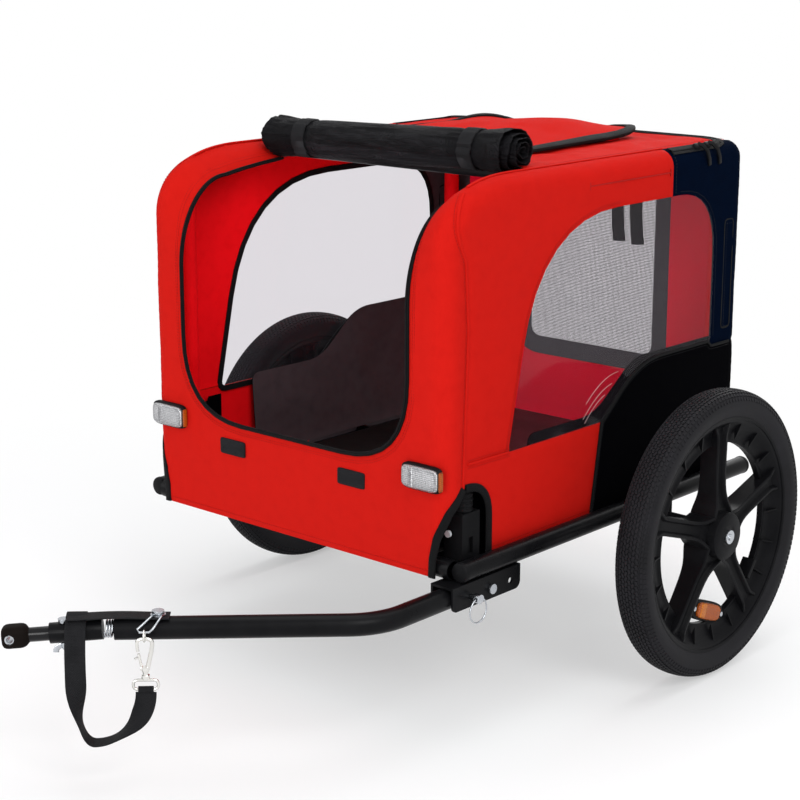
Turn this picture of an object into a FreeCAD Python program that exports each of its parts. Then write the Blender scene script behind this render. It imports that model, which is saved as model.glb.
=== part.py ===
"""Dog bike trailer: a cloth cabin on two wheels with a side tow bar.

Sizes are millimetres. Y = 0 is the wheel axle while the pieces are made, the tow bar points to -Y,
Z = 0 is the ground and +X is the tow bar's side. The last step centres the whole object in Y.
"""
import math
import os

import FreeCAD
import Part

V = FreeCAD.Vector

# Wheels
wheel_d = 400.0
tyre_w = 47.0
tyre_depth = 41.0
hub_stand = 91.3
rim_flange_h = 5.0
rim_flange_w = 3.0
rim_half_w = 17.0
rim_depth = 33.0
rim_wall = 6.0
rim_lip = 5.0
spoke_count = 5
spoke_w = 26.0
spoke_wall = 5.0
spoke_root = 6.0
spoke_half_deep = 14.0
hub_r = 33.0
hub_out = 28.5
hub_in = 30.0
axle_r = 6.0
bearing_r = 16.0
bearing_w = 10.0
axle_head_r = 9.5
axle_head_h = 3.0
button_r = 4.5
button_travel = 3.0
button_stand = 2.0
button_deep = 14.0

# Base frame
rail_d = 25.4
rail_wall = 1.6
axle_drop = 24.0
rail_front = -436.0
rail_rear = 240.0
cap_over = 1.2
cap_len = 9.0
axle_tube_y = 0.0
rear_tube_y = 160.0
floor_t = 4.0
floor_screw_x = 150.0
floor_head_h = 2.0
plate_t = 5.0
plate_half = 34.0
plate_below = 17.0
boss_r = 15.0
boss_len = 47.0
bolt_r = 3.0
bolt_head_r = 5.5
bolt_head_h = 4.0

# Side arches and their feet
arch_d = 20.0
arch_wall = 1.5
arch_inset = 18.0
arch_front = -368.0
arch_rear = 199.0
arch_top_h = 465.0
arch_front_r = 85.0
arch_rear_r = 45.0
foot_floor_h = 38.0
foot_half_y = 17.0
foot_top_h = 66.0
collar_r = 14.0
collar_h = 27.0
collar_ribs = 4
collar_groove = 1.2
spreader_d = 18.0
spreader_front = -178.0
spreader_rear = 148.0

# Cloth cabin
cover_half = 268.0
cover_front = -421.0
cover_rear = 240.0
cover_top_h = 483.0
front_hem_h = -11.0
side_hem_h = 5.5
cloth = 2.5
brow_y = 150.0
brow_z = 95.0
tail_r = 26.0
edge_r = 22.0
piping = 9.0
piping_proud = 1.5
door_half = 205.0
door_sill_h = 126.0
door_corner = 58.0
window_front = -297.0
window_lean = 62.0
window_rear = 165.0
window_top_h = 419.0
window_sill_h = 130.0
guard_top_h = 192.0
guard_knee = -14.0
guard_foot = -118.0
guard_shoulder = -92.0
guard_shoulder_h = 133.0
guard_gap = 8.0
cutout_rear = -336.0
cutout_top_h = 101.0
cutout_inset = 15.0
binding_w = 6.0
roll_y = -224.0
roll_h = 496.0
roll_r = 27.0
roll_half = 227.0
roll_strap_w = 24.0
roll_strap_t = 1.5
roll_strap_x = (-150.0, 150.0)
flap_half = 150.0
flap_front = -184.0
flap_rear = 155.0
flap_lap = 14.0
rear_door_half = 160.0
rear_door_low_h = 98.0
rear_door_high_h = 448.0
rear_door_lap = 16.0
reflector_w = 58.0
reflector_h = 32.0
reflector_inset = 32.0
reflector_up = 117.0
patch_w = 48.0
patch_h = 22.0
patch_x = 110.0
patch_up = 92.0

# Tow bar and coupling
bar_d = 28.0
bar_wall = 2.0
bar_inset = 9.0
pivot_y = -358.0
hole_pitch = 40.0
bend_y = -545.0
bend_turn = 46.0
bend_r = 90.0
bar_end = 316.0
bracket_t = 3.0
bracket_rear = -298.0
bracket_front = -432.0
pivot_head_r = 6.5
pivot_head_h = 5.0
pivot_nut_h = 7.0
pivot_r = 4.0
pin_r = 4.0
pin_head_r = 6.0
pin_bite = 8.0
ring_r = 16.0
ring_wire = 1.1
coil_r = 10.0
coil_wire = 2.6
coil_pitch = 3.3
coil_turns = 3.0
arm_d = 25.0
arm_len = 63.0
stem_d = 17.5
stem_len = 25.0
knob_d = 27.0
knob_len = 32.0
knob_bore_r = 4.0
knob_eye = 21.2
clamp_at = 46.0
strap_w = 25.0
strap_t = 1.6
strap_fix = 264.0
strap_over = 361.0
strap_clear = 15.0
strap_low = -134.0
strap_fold_r = 8.0
twist_from = 0.34
twist_to = 0.88
tab_t = 2.0
tab_hole = 6.0
link_r = 7.0
link_wire = 1.2
hook_at = 279.0
hook_clear = 10.0
hook_wire = 2.0
eye_half = 15.0
eye_drop = 13.0
eye_wire = 1.8
droop = 4.0

# Clearances
seat = 0.3
running = 0.05
side_gap = 1.0

# Worked out from the sizes above
wheel_r = wheel_d / 2
rail_r = rail_d / 2
arch_r = arch_d / 2
bar_r = bar_d / 2
rim_seat_r = wheel_r - tyre_depth
rim_lip_r = rim_seat_r - rim_depth
rail_x = cover_half + seat + rail_r
rail_z = wheel_r + axle_drop
rail_top = rail_z + rail_r
wheel_x = rail_x + rail_r + hub_stand
arch_x = cover_half - arch_inset
cutout_front_x = cover_half - cutout_inset
reflector_x = cover_half - reflector_inset
bar_x = rail_x - bar_inset
bar_z = rail_z - rail_r - seat - bracket_t - side_gap - bar_r
arch_top = rail_z + arch_top_h
foot_z = rail_z + foot_floor_h
foot_top = rail_z + foot_top_h
cover_top = rail_z + cover_top_h
front_hem = rail_z + front_hem_h
side_hem = rail_z + side_hem_h
door_sill = rail_z + door_sill_h
window_top = rail_z + window_top_h
window_sill = rail_z + window_sill_h
guard_top = rail_z + guard_top_h
guard_shoulder_z = rail_z + guard_shoulder_h
cutout_top = rail_z + cutout_top_h
roll_z = rail_z + roll_h
rear_door_low = rail_z + rear_door_low_h
rear_door_high = rail_z + rear_door_high_h
reflector_z = rail_z + reflector_up
patch_z = rail_z + patch_up
front_tube_y = cover_front + cloth + seat + rail_r
foot_out = cover_half - cloth - seat
foot_in = 2 * arch_x - foot_out
floor_half = foot_in - seat
inner_top = cover_top - cloth
roof_edge = roll_y + math.sqrt(roll_r ** 2 - (roll_z - cover_top) ** 2) + seat
hook_side = bar_r + hook_clear
strap_side = bar_r + strap_clear
bend_at = V(bar_x, bend_y, bar_z)
turn = math.radians(bend_turn)
bar_dir = V(-math.sin(turn), -math.cos(turn), 0)
bar_side = V(math.cos(turn), -math.sin(turn), 0)
coil_len = coil_turns * coil_pitch + coil_wire
arm_start = bar_end + coil_len + 2 * seat + coil_r * math.sin(math.radians(droop))
stem_start = arm_start + arm_len
knob_start = stem_start + stem_len
knob_end = knob_start + knob_len
knob_round = 6.0
tip_y = (bend_y + bar_dir.y * (knob_end - knob_round)
         - (knob_d / 2 - knob_round) * abs(bar_dir.x) - knob_round)
tail_y = rail_rear + cap_len
centre_shift = V(0, -(tip_y + tail_y) / 2, 0)
X = V(1, 0, 0)
Y = V(0, 1, 0)
Z = V(0, 0, 1)

pieces = {}


def box(x0, x1, y0, y1, z0, z1):
    return Part.makeBox(x1 - x0, y1 - y0, z1 - z0, V(x0, y0, z0))


def rod(a, b, r):
    return Part.makeCylinder(r, (b - a).Length, a, b - a)


def tube(a, b, d, wall):
    return rod(a, b, d / 2).cut(rod(a, b, d / 2 - wall))


def mirrored(shape):
    return shape.mirror(V(0, 0, 0), X)


def both(shape):
    return [shape, mirrored(shape)]


def joined(shapes):
    first = shapes[0]
    return first.multiFuse(shapes[1:]).removeSplitter() if len(shapes) > 1 else first


def bolt(a, b, r, head_r, head_h):
    """A bolt whose head sits on a and whose shank runs to b."""
    out = (a - b).normalize()
    return rod(a, a + out * head_h, head_r).fuse(rod(a, b, r))


def rounded(points, radii, closed=False):
    """A wire through points, with a tangent arc of the given radius at each corner."""
    count = len(points)
    corners = []
    for i, p in enumerate(points):
        if radii[i] == 0 or (not closed and i in (0, count - 1)):
            corners.append((p, p, None))
            continue
        back = (points[i - 1] - p).normalize()
        ahead = (points[(i + 1) % count] - p).normalize()
        half = back.getAngle(ahead) / 2
        run = radii[i] / math.tan(half)
        inward = (back + ahead).normalize()
        middle = p + inward * (radii[i] / math.sin(half) - radii[i])
        corners.append((p + back * run, p + ahead * run, middle))
    edges = []
    for i, (start, end, middle) in enumerate(corners):
        if middle is not None:
            edges.append(Part.Arc(start, middle, end).toShape())
        if i < count - 1 or closed:
            following = corners[(i + 1) % count][0]
            if (following - end).Length > 1e-6:
                edges.append(Part.makeLine(end, following))
    return Part.Wire(edges)


def sweep(path, r):
    first = path.Edges[0]
    at = first.FirstParameter
    ring = Part.Wire(Part.makeCircle(r, first.valueAt(at), first.tangentAt(at)))
    return path.makePipeShell([ring], True, False)


def slab(points, radii, push):
    return Part.Face(rounded(points, radii, True)).extrude(push)


def spun(points):
    """A ring about the X axis from (x, radius) points."""
    wire = Part.makePolygon([V(x, 0, r) for x, r in points + points[:1]])
    return Part.Face(wire).revolve(V(0, 0, 0), X, 360)


# Wheels, made at the origin with +X outboard

def make_rim():
    flange_r = rim_seat_r + rim_flange_h
    band = spun([(-rim_half_w, rim_seat_r - rim_wall), (rim_half_w, rim_seat_r - rim_wall),
                 (rim_half_w, flange_r), (rim_half_w - rim_flange_w, flange_r),
                 (rim_half_w - rim_flange_w, rim_seat_r), (rim_flange_w - rim_half_w, rim_seat_r),
                 (rim_flange_w - rim_half_w, flange_r), (-rim_half_w, flange_r)])
    web = spun([(-3, rim_lip_r + 2), (3, rim_lip_r + 2), (3, rim_seat_r - rim_wall + 1),
                (-3, rim_seat_r - rim_wall + 1)])
    lip = spun([(-13, rim_lip_r), (13, rim_lip_r), (13, rim_lip_r + rim_lip),
                (-13, rim_lip_r + rim_lip)])
    parts = [band, web, lip, rod(V(-hub_in, 0, 0), V(hub_out, 0, 0), hub_r)]
    reach = rim_lip_r + 2
    step = 360.0 / spoke_count
    for k in range(spoke_count):
        half = spoke_w / 2
        group = [box(-spoke_wall / 2, spoke_wall / 2, -half, half, hub_r - spoke_root, reach)]
        for edge in (-half, half - spoke_wall):
            wall = box(-spoke_half_deep, spoke_half_deep, edge, edge + spoke_wall, hub_r - spoke_root, reach)
            group.append(wall)
        for lean in (-0.22, 0.22):
            rib = box(-11, 11, -1.5, 1.5, rim_lip_r + 3, rim_seat_r - rim_wall + 2)
            rib.rotate(V(0, 0, 0), X, step * (0.5 + lean))
            group.append(rib)
        for shape in group:
            shape.rotate(V(0, 0, 0), X, step * k)
            parts.append(shape)
    rim = joined(parts)
    rim = rim.cut(rod(V(-hub_in - 1, 0, 0), V(hub_out + 1, 0, 0), axle_r + 2))
    for inner, outer in ((-hub_in - 1, bearing_w - hub_in), (hub_out - bearing_w, hub_out + 1)):
        rim = rim.cut(rod(V(inner, 0, 0), V(outer, 0, 0), bearing_r + running))
    return rim


def make_tyre():
    ring = Part.makeTorus(wheel_r - tyre_w / 2, tyre_w / 2, V(0, 0, 0), X)
    seat_r = rim_seat_r + running
    top_r = rim_seat_r + rim_flange_h + running
    ring = ring.cut(rod(V(-tyre_w, 0, 0), V(tyre_w, 0, 0), seat_r))
    for x0, x1 in ((-tyre_w, rim_flange_w + running - rim_half_w),
                   (rim_half_w - rim_flange_w - running, tyre_w)):
        side = rod(V(x0, 0, 0), V(x1, 0, 0), top_r)
        ring = ring.cut(side)
    return ring


def make_bearings():
    rings = []
    for inner in (-hub_in, hub_out - bearing_w):
        a = V(inner, 0, 0)
        b = V(inner + bearing_w, 0, 0)
        rings.append(rod(a, b, bearing_r).cut(rod(a, b, axle_r + running)))
    return rings


def make_axle(inner_x):
    head = rod(V(hub_out + seat, 0, 0), V(hub_out + seat + axle_head_h, 0, 0), axle_head_r)
    pin = rod(V(inner_x, 0, 0), V(hub_out + seat + 1, 0, 0), axle_r)
    end = hub_out + seat + axle_head_h
    bore = rod(V(end - button_deep, 0, 0), V(end + 1, 0, 0), button_r + running)
    return pin.fuse(head).removeSplitter().cut(bore)


def make_button():
    end = hub_out + seat + axle_head_h
    foot = end - button_deep + button_travel + 1
    return rod(V(foot, 0, 0), V(end + button_stand, 0, 0), button_r)


def make_wheel_reflector():
    low = -rim_lip_r
    base = box(2, 12, -31, 31, low, low + 24).common(
        rod(V(0, 0, 0), V(40, 0, 0), rim_lip_r - seat))
    lens = box(12, 17, -22, 22, low + 6, low + 24)
    base = base.cut(box(10, 13, -22, 22, low + 6, low + 25))
    lens = lens.fuse(box(10, 12, -22, 22, low + 6, low + 24)).removeSplitter()
    screws = [bolt(V(12, y, low + 14), V(6, y, low + 14), 1.5, 3.5, 1.5) for y in (-26.5, 26.5)]
    for screw in screws:
        base = base.cut(screw)
    return [base, lens] + screws


def wheel_set(side):
    hub = V(side * wheel_x, 0, wheel_r)
    name = "left" if side > 0 else "right"
    axle_in = rail_x + rail_r + plate_t + seat + 3 - wheel_x
    made = {"tyre": [make_tyre()], "rim": [make_rim()], "bearings": make_bearings(),
            "axle": [make_axle(axle_in)], "axle_button": [make_button()],
            "wheel_reflector": make_wheel_reflector()}
    for kind, shapes in made.items():
        placed = []
        for shape in shapes:
            one = shape if side > 0 else mirrored(shape)
            one.translate(hub)
            placed.append(one)
        pieces[name + "_" + kind] = placed


# Base frame

def axle_bolt_places():
    return [V(rail_x + rail_r + plate_t + seat, y, rail_z) for y in (-21, 21)]


def foot_bolt_y():
    return (arch_front, arch_rear)


def make_rails():
    left = tube(V(rail_x, rail_front, rail_z), V(rail_x, rail_rear, rail_z), rail_d, rail_wall)
    for place in axle_bolt_places():
        left = left.cut(rod(place, V(rail_x, place.y, place.z), bolt_r + running))
    for y in foot_bolt_y():
        left = left.cut(rod(V(rail_x + 40, y, rail_z), V(rail_x - 40, y, rail_z), bolt_r + running))
    caps = []
    for end, way in ((rail_front, -1), (rail_rear, 1)):
        a = V(rail_x, end, rail_z)
        cap = rod(a, V(rail_x, end + way * cap_len, rail_z), rail_r + cap_over)
        rim_edge = [e for e in cap.Edges if abs(e.CenterOfMass.y - end - way * cap_len) < 0.01]
        cap = cap.makeFillet(3, rim_edge)
        plug = rod(V(rail_x, end - way * 12, rail_z), V(rail_x, end, rail_z), rail_r - rail_wall - running)
        caps += both(cap.fuse(plug).removeSplitter())
    pieces["left_base_rail"] = [left]
    pieces["right_base_rail"] = [mirrored(left)]
    pieces["rail_end_caps"] = caps


def cross_tube(y):
    end = rail_x - rail_r - seat
    return tube(V(-end, y, rail_z), V(end, y, rail_z), rail_d, rail_wall)


def floor_screw_places():
    return [V(x, y, rail_top + seat + floor_t - floor_head_h) for y in (front_tube_y, axle_tube_y, rear_tube_y)
            for x in (-floor_screw_x, floor_screw_x)]


def make_floor():
    tubes = {"front_cross_tube": cross_tube(front_tube_y), "axle_cross_tube": cross_tube(axle_tube_y),
             "rear_cross_tube": cross_tube(rear_tube_y)}
    board = box(-floor_half, floor_half, front_tube_y - 8, cover_rear - cloth - 4,
                rail_top + seat, rail_top + seat + floor_t)
    screws = []
    for place in floor_screw_places():
        deep = V(place.x, place.y, rail_z + 4)
        hole = rod(place + Z, deep, bolt_r + running)
        pocket = rod(place, place + Z * floor_t, bolt_head_r + running)
        board = board.cut(hole).cut(pocket)
        for name in tubes:
            tubes[name] = tubes[name].cut(hole)
        screws.append(bolt(place, deep, bolt_r, bolt_head_r, floor_head_h))
    for name, shape in tubes.items():
        pieces[name] = [shape]
    pieces["floor_board"] = [board]
    return screws


def make_axle_brackets():
    x0 = rail_x + rail_r + seat
    x1 = x0 + plate_t
    low_z = wheel_r - plate_below
    plate = slab([V(x0, -plate_half, low_z), V(x0, plate_half, low_z), V(x0, plate_half, rail_top),
                  V(x0, -plate_half, rail_top)], [10, 10, 6, 6], V(plate_t, 0, 0))
    boss = rod(V(x0, 0, wheel_r), V(x1 + boss_len, 0, wheel_r), boss_r)
    bracket = plate.fuse(boss).removeSplitter()
    bracket = bracket.cut(rod(V(x0 + 3, 0, wheel_r), V(x1 + boss_len + 1, 0, wheel_r), axle_r + running))
    bolts = []
    for place in axle_bolt_places():
        end = V(rail_x + 4, place.y, place.z)
        bracket = bracket.cut(rod(place, end, bolt_r + running))
        bolts.append(bolt(place, end, bolt_r, bolt_head_r, bolt_head_h))
    low = V(x1, 10 - plate_half, low_z + 9)
    bracket = bracket.cut(rod(low, V(x0 - 1, low.y, low.z), bolt_r + running))
    bolts.append(bolt(low, V(x0 - 4, low.y, low.z), bolt_r, bolt_head_r, bolt_head_h))
    pieces["axle_brackets"] = both(bracket)
    return bolts + [mirrored(b) for b in bolts]


def make_feet():
    feet = []
    bolts = []
    for y in (arch_front, arch_rear):
        foot = box(foot_in, foot_out, y - foot_half_y, y + foot_half_y, rail_z - 11, foot_top)
        foot = foot.cut(rod(V(arch_x, y, foot_z), V(arch_x, y, foot_top + 1), arch_r + running))
        foot = foot.cut(box(foot_out - 5, foot_out + 1, y - 4.5, y + 4.5, rail_z + 12, foot_z - 4))
        head = V(rail_x + rail_r, y, rail_z)
        end = V(arch_x, y, rail_z)
        foot = foot.cut(rod(V(rail_x, y, rail_z), end, bolt_r + running))
        feet.append(foot)
        bolts.append(bolt(head, end, bolt_r, bolt_head_r, bolt_head_h))
    pieces["corner_feet"] = feet + [mirrored(f) for f in feet]
    return bolts + [mirrored(b) for b in bolts]


def make_collars():
    a = V(arch_x, arch_front, foot_top + seat)
    b = a + Z * collar_h
    collar = rod(a, b, collar_r)
    pitch = collar_h / collar_ribs
    for k in range(collar_ribs):
        low = a + Z * (pitch * (k + 0.6))
        high = low + Z * pitch * 0.4
        collar = collar.cut(rod(low, high, collar_r + 1).cut(rod(low, high, collar_r - collar_groove)))
    return collar.cut(rod(a - Z, b + Z, arch_r + running))


def make_arches():
    points = [V(arch_x, arch_front, foot_z), V(arch_x, arch_front, arch_top),
              V(arch_x, arch_rear, arch_top), V(arch_x, arch_rear, foot_z)]
    path = rounded(points, [0, arch_front_r, arch_rear_r, 0])
    arch = sweep(path, arch_r).cut(sweep(path, arch_r - arch_wall))
    pieces["left_side_arch"] = [arch]
    pieces["right_side_arch"] = [mirrored(arch)]
    end = arch_x - arch_r - seat
    pieces["roof_spreaders"] = [tube(V(-end, y, arch_top), V(end, y, arch_top), spreader_d, 1.5)
                                for y in (spreader_front, spreader_rear)]
    pieces["leg_collars"] = both(make_collars())


# Cloth cabin

def cabin_block(grow, hem):
    """The cabin's outer form, moved out by grow, down to the hem."""
    front = cover_front - grow
    rear = cover_rear + grow
    top = cover_top + grow
    half = cover_half + grow
    ay = brow_y + grow
    az = brow_z + grow
    cy = front + ay
    cz = top - az
    tail = tail_r + grow
    up = V(0, cy, top)
    low = V(0, front, cz)
    brow = Part.Ellipse(low, up, V(0, cy, cz))
    middle = V(0, cy - ay * math.sqrt(0.5), cz + az * math.sqrt(0.5))
    ends = sorted([brow.parameter(low), brow.parameter(up)])
    arc = Part.ArcOfEllipse(brow, *ends)
    if (arc.value(sum(ends) / 2) - middle).Length > 1:
        arc = Part.ArcOfEllipse(brow, ends[1], ends[0] + 2 * math.pi)
    edges = [Part.makeLine(V(0, front, hem), low), arc.toShape(),
             Part.makeLine(up, V(0, rear - tail, top)),
             Part.Arc(V(0, rear - tail, top),
                      V(0, rear - tail * (1 - math.sqrt(0.5)), top - tail * (1 - math.sqrt(0.5))),
                      V(0, rear, top - tail)).toShape(),
             Part.makeLine(V(0, rear, top - tail), V(0, rear, hem)),
             Part.makeLine(V(0, rear, hem), V(0, front, hem))]
    block = Part.Face(Part.Wire(Part.__sortEdges__(edges))).extrude(V(2 * half, 0, 0))
    block.translate(V(-half, 0, 0))
    rims = [e for e in block.Edges
            if abs(abs(e.CenterOfMass.x) - half) < 0.01 and e.CenterOfMass.z > hem + 1]
    return block.makeFillet(edge_r + grow, rims)


def side_region(outline_points, radii, push_from, push):
    return slab([V(push_from, y, z) for y, z in outline_points], radii, V(push, 0, 0))


def window_outline(grow):
    low = window_sill - grow
    knee = guard_top + guard_gap - grow
    return ([(window_front - grow, low), (window_front + window_lean - grow, window_top + grow),
             (window_rear + grow, window_top + grow), (window_rear + grow, knee),
             (guard_knee - grow * 0.6, knee), (guard_shoulder - 6 - grow * 0.6, low)],
            [8, 130, 60, 8, 30, 12])


def guard_outline():
    return ([(guard_foot, side_hem), (guard_shoulder, guard_shoulder_z), (guard_knee, guard_top),
             (cover_rear - edge_r, guard_top), (cover_rear - edge_r, side_hem)],
            [0, 40, 30, 0, 0])


def cutout_outline(grow):
    return ([(cover_front - 20, front_hem - 20), (cover_front - 20, cutout_top + grow),
             (cutout_rear + grow, cutout_top + grow), (cutout_rear + grow, front_hem - 20)],
            [0, 0, 52, 0])


def door_prism(grow):
    points = [V(-door_half - grow, cover_front - 60, cover_top + 60),
              V(-door_half - grow, cover_front - 60, door_sill - grow),
              V(door_half + grow, cover_front - 60, door_sill - grow),
              V(door_half + grow, cover_front - 60, cover_top + 60)]
    corner = door_corner + grow
    return slab(points, [0, corner, corner, 0], V(0, roof_edge - cover_front + 60, 0))


def make_cover():
    outer = cabin_block(0, front_hem)
    inner = cabin_block(-cloth, front_hem - 20)
    shell = outer.cut(inner)
    seam = cover_half - edge_r
    far = 900
    middle = box(-seam, seam, -far, far, -far, far)
    ahead = box(-far, far, -far, roof_edge, -far, far)
    behind = box(-far, far, cover_rear - tail_r, far, -far, far)

    # Front panel with the door opening that runs over the brow to the roll
    front = shell.common(middle).common(ahead).cut(door_prism(piping + seat))
    roll_room = box(-roll_half - 2, roll_half + 2, roll_y - roll_r - 2, far, roll_z - roll_r - 2, far)
    front = front.cut(roll_room)
    pieces["front_panel"] = [front]
    skin = cabin_block(piping_proud, front_hem).cut(cabin_block(-cloth - piping_proud, front_hem - 20))
    ring = door_prism(piping).cut(door_prism(0))
    ring = ring.common(box(-far, far, -far, roll_y - roll_r - 4, -far, far))
    pieces["front_door_piping"] = [skin.common(ring)]

    # Roof with its hatch, and the loose flap over it
    roof = shell.common(middle).cut(ahead).cut(behind)
    roof = roof.cut(box(-flap_half + flap_lap, flap_half - flap_lap, flap_front + 2 * flap_lap,
                        flap_rear - flap_lap, inner_top - 60, far))
    roof = roof.common(box(-far, far, -far, far, inner_top - 40, far))
    pieces["roof_panel"] = [roof]
    up = cover_top + seat
    flap = [V(-flap_half, flap_front, up), V(flap_half, flap_front, up), V(flap_half, flap_rear, up),
            V(-flap_half, flap_rear, up)]
    pieces["roof_flap"] = [slab(flap, [0, 0, 30, 30], V(0, 0, cloth))]

    # Rear panel and its mesh door
    rear = shell.common(middle).common(behind).common(box(-far, far, -far, far, side_hem, far))
    lap = rear_door_lap
    rear = rear.cut(box(-rear_door_half + lap, rear_door_half - lap, cover_rear - 40, far,
                        rear_door_low + lap, rear_door_high - lap))
    pieces["rear_panel"] = [rear]
    y = cover_rear + seat
    door = [V(-rear_door_half, y, rear_door_low), V(rear_door_half, y, rear_door_low),
            V(rear_door_half, y, rear_door_high), V(-rear_door_half, y, rear_door_high)]
    pieces["rear_mesh_door"] = [slab(door, [40, 40, 20, 20], V(0, cloth, 0))]

    # Sides with window, wheel guard and the bound cut-out at the front foot
    side = shell.common(box(seam, far, -far, far, side_hem, far))
    points, radii = window_outline(0)
    side = side.cut(side_region(points, radii, seam, 60))
    points, radii = guard_outline()
    region = side_region(points, radii, seam, 60)
    guard = side.common(region)
    side = side.cut(region)
    points, radii = cutout_outline(0)
    notch = side_region(points, radii, cutout_front_x, 60)
    points, radii = cutout_outline(-binding_w)
    notch_in = side_region(points, radii, cutout_front_x + binding_w, 60)
    binding = side.common(notch).cut(notch_in)
    side = side.cut(notch)
    for tube_y in (front_tube_y, axle_tube_y, rear_tube_y):
        room = rod(V(0, tube_y, rail_z), V(far, tube_y, rail_z), rail_r + seat)
        side = side.cut(room)
        guard = guard.cut(room)
        binding = binding.cut(room)
    points, radii = window_outline(-seat)
    pane = side_region(points, radii, cover_half - cloth, 1.0)
    pieces["left_side_panel"] = [side]
    pieces["right_side_panel"] = [mirrored(side)]
    pieces["wheel_guards"] = both(guard)
    pieces["cutout_bindings"] = both(binding)
    pieces["side_windows"] = both(pane)


def make_cover_trim():
    y = cover_front - seat
    lens = []
    for side in (-1, 1):
        x = side * reflector_x
        face = box(x - reflector_w / 2, x + reflector_w / 2, y - 9, y,
                   reflector_z - reflector_h / 2, reflector_z + reflector_h / 2)
        uprights = [e for e in face.Edges if abs(e.CenterOfMass.y - y + 9) < 0.01]
        lens.append(face.makeFillet(2.5, uprights))
    pieces["front_reflectors"] = lens
    pieces["hook_patches"] = [box(x - patch_w / 2, x + patch_w / 2, y - 1.5, y, patch_z - patch_h / 2,
                                  patch_z + patch_h / 2) for x in (-patch_x, patch_x)]
    axis_a = V(-roll_half, roll_y, roll_z)
    axis_b = V(roll_half, roll_y, roll_z)
    pieces["rolled_door"] = [rod(axis_a, axis_b, roll_r)]
    bands = []
    for x in roll_strap_x:
        a = V(x - roll_strap_w / 2, roll_y, roll_z)
        b = V(x + roll_strap_w / 2, roll_y, roll_z)
        band = rod(a, b, roll_r + running + roll_strap_t).cut(rod(a, b, roll_r + running))
        bands.append(band.cut(box(a.x - 1, b.x + 1, roll_y, roll_y + 60, roll_z - 60, cover_top + seat)))
    pieces["roll_straps"] = bands
    sliders = []
    for k in range(2):
        x = cover_half - edge_r - 40 - 18 * k
        end = cover_rear - tail_r - 8
        body = box(x - 4, x + 4, end - 14, end, cover_top + seat, cover_top + 5)
        sliders.append(body.makeFillet(1.5, [e for e in body.Edges if e.CenterOfMass.z > cover_top + 4.9]))
    pieces["zip_sliders"] = sliders


# Tow bar

def on_bar(run, side=0.0, up=0.0):
    """A point run along the slanting part of the bar, counted from its bend."""
    return bend_at + bar_dir * run + bar_side * side + Z * up


def make_bracket():
    inner = bar_r + side_gap
    top = rail_z - rail_r - seat
    low = bar_z - bar_r
    web = box(bar_x - inner - bracket_t, bar_x + inner + bracket_t, bracket_front, bracket_rear,
              top - bracket_t, top)
    plates = []
    for x in (bar_x - inner - bracket_t, bar_x + inner):
        plates.append(slab([V(x, bracket_front, low), V(x, bracket_rear, low),
                            V(x, bracket_rear, top), V(x, bracket_front, top)],
                           [8, 10, 0, 0], V(bracket_t, 0, 0)))
    bracket = joined([web] + plates)
    for k in (-1, 0, 1):
        y = pivot_y + k * hole_pitch
        r = (pivot_r if k == 0 else pin_r) + running
        bracket = bracket.cut(rod(V(bar_x - 60, y, bar_z), V(bar_x + 60, y, bar_z), r))
    pieces["hitch_bracket"] = [bracket]
    outside = bar_x + inner + bracket_t
    inside = bar_x - inner - bracket_t
    head = rod(V(outside, pivot_y, bar_z), V(outside + pivot_head_h, pivot_y, bar_z), pivot_head_r)
    shank = rod(V(inside - pivot_nut_h - 1, pivot_y, bar_z), V(outside, pivot_y, bar_z), pivot_r)
    nut = rod(V(inside - pivot_nut_h, pivot_y, bar_z), V(inside, pivot_y, bar_z), pivot_head_r)
    pieces["hitch_pivot_bolt"] = [joined([head, shank, nut])]


def make_tow_tube():
    path = rounded([V(bar_x, pivot_y + bar_r, bar_z), bend_at, on_bar(bar_end)], [0, bend_r, 0])
    bar = sweep(path, bar_r)
    core = sweep(rounded([V(bar_x, pivot_y + 60, bar_z), bend_at, on_bar(bar_end - 3)], [0, bend_r, 0]),
                 bar_r - bar_wall)
    bar = bar.cut(core)
    keep = rod(V(bar_x - 60, pivot_y, bar_z), V(bar_x + 60, pivot_y, bar_z), bar_r)
    keep = keep.fuse(box(-600, 600, -1200, pivot_y, 0, 400))
    bar = bar.common(keep)
    for y, r in ((pivot_y, pivot_r), (pivot_y - hole_pitch, pin_r)):
        bar = bar.cut(rod(V(bar_x - 60, y, bar_z), V(bar_x + 60, y, bar_z), r + running))
    bar = bar.cut(rod(on_bar(strap_fix), on_bar(strap_fix, 0, 40), bolt_r + running))
    pieces["tow_bar_tube"] = [bar]


def make_lock_pin():
    bar_out = bar_x + bar_r
    tip = V(bar_out + seat, pivot_y - hole_pitch, bar_z)
    face = bar_out + side_gap + bracket_t
    head_a = V(face + pin_bite, tip.y, bar_z)
    head_b = head_a + X * 9
    pin = joined([rod(tip, head_a, pin_r), rod(head_a, head_b, pin_head_r)])
    eye = head_a + X * 5
    pin = pin.cut(rod(eye - Y * 20, eye + Y * 20, ring_wire + 1.5))
    pieces["lock_pin"] = [pin]
    ring = Part.makeTorus(ring_r, ring_wire, eye - Z * (ring_r - 0.6), X)
    pieces["lock_pin_ring"] = [ring]


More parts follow.
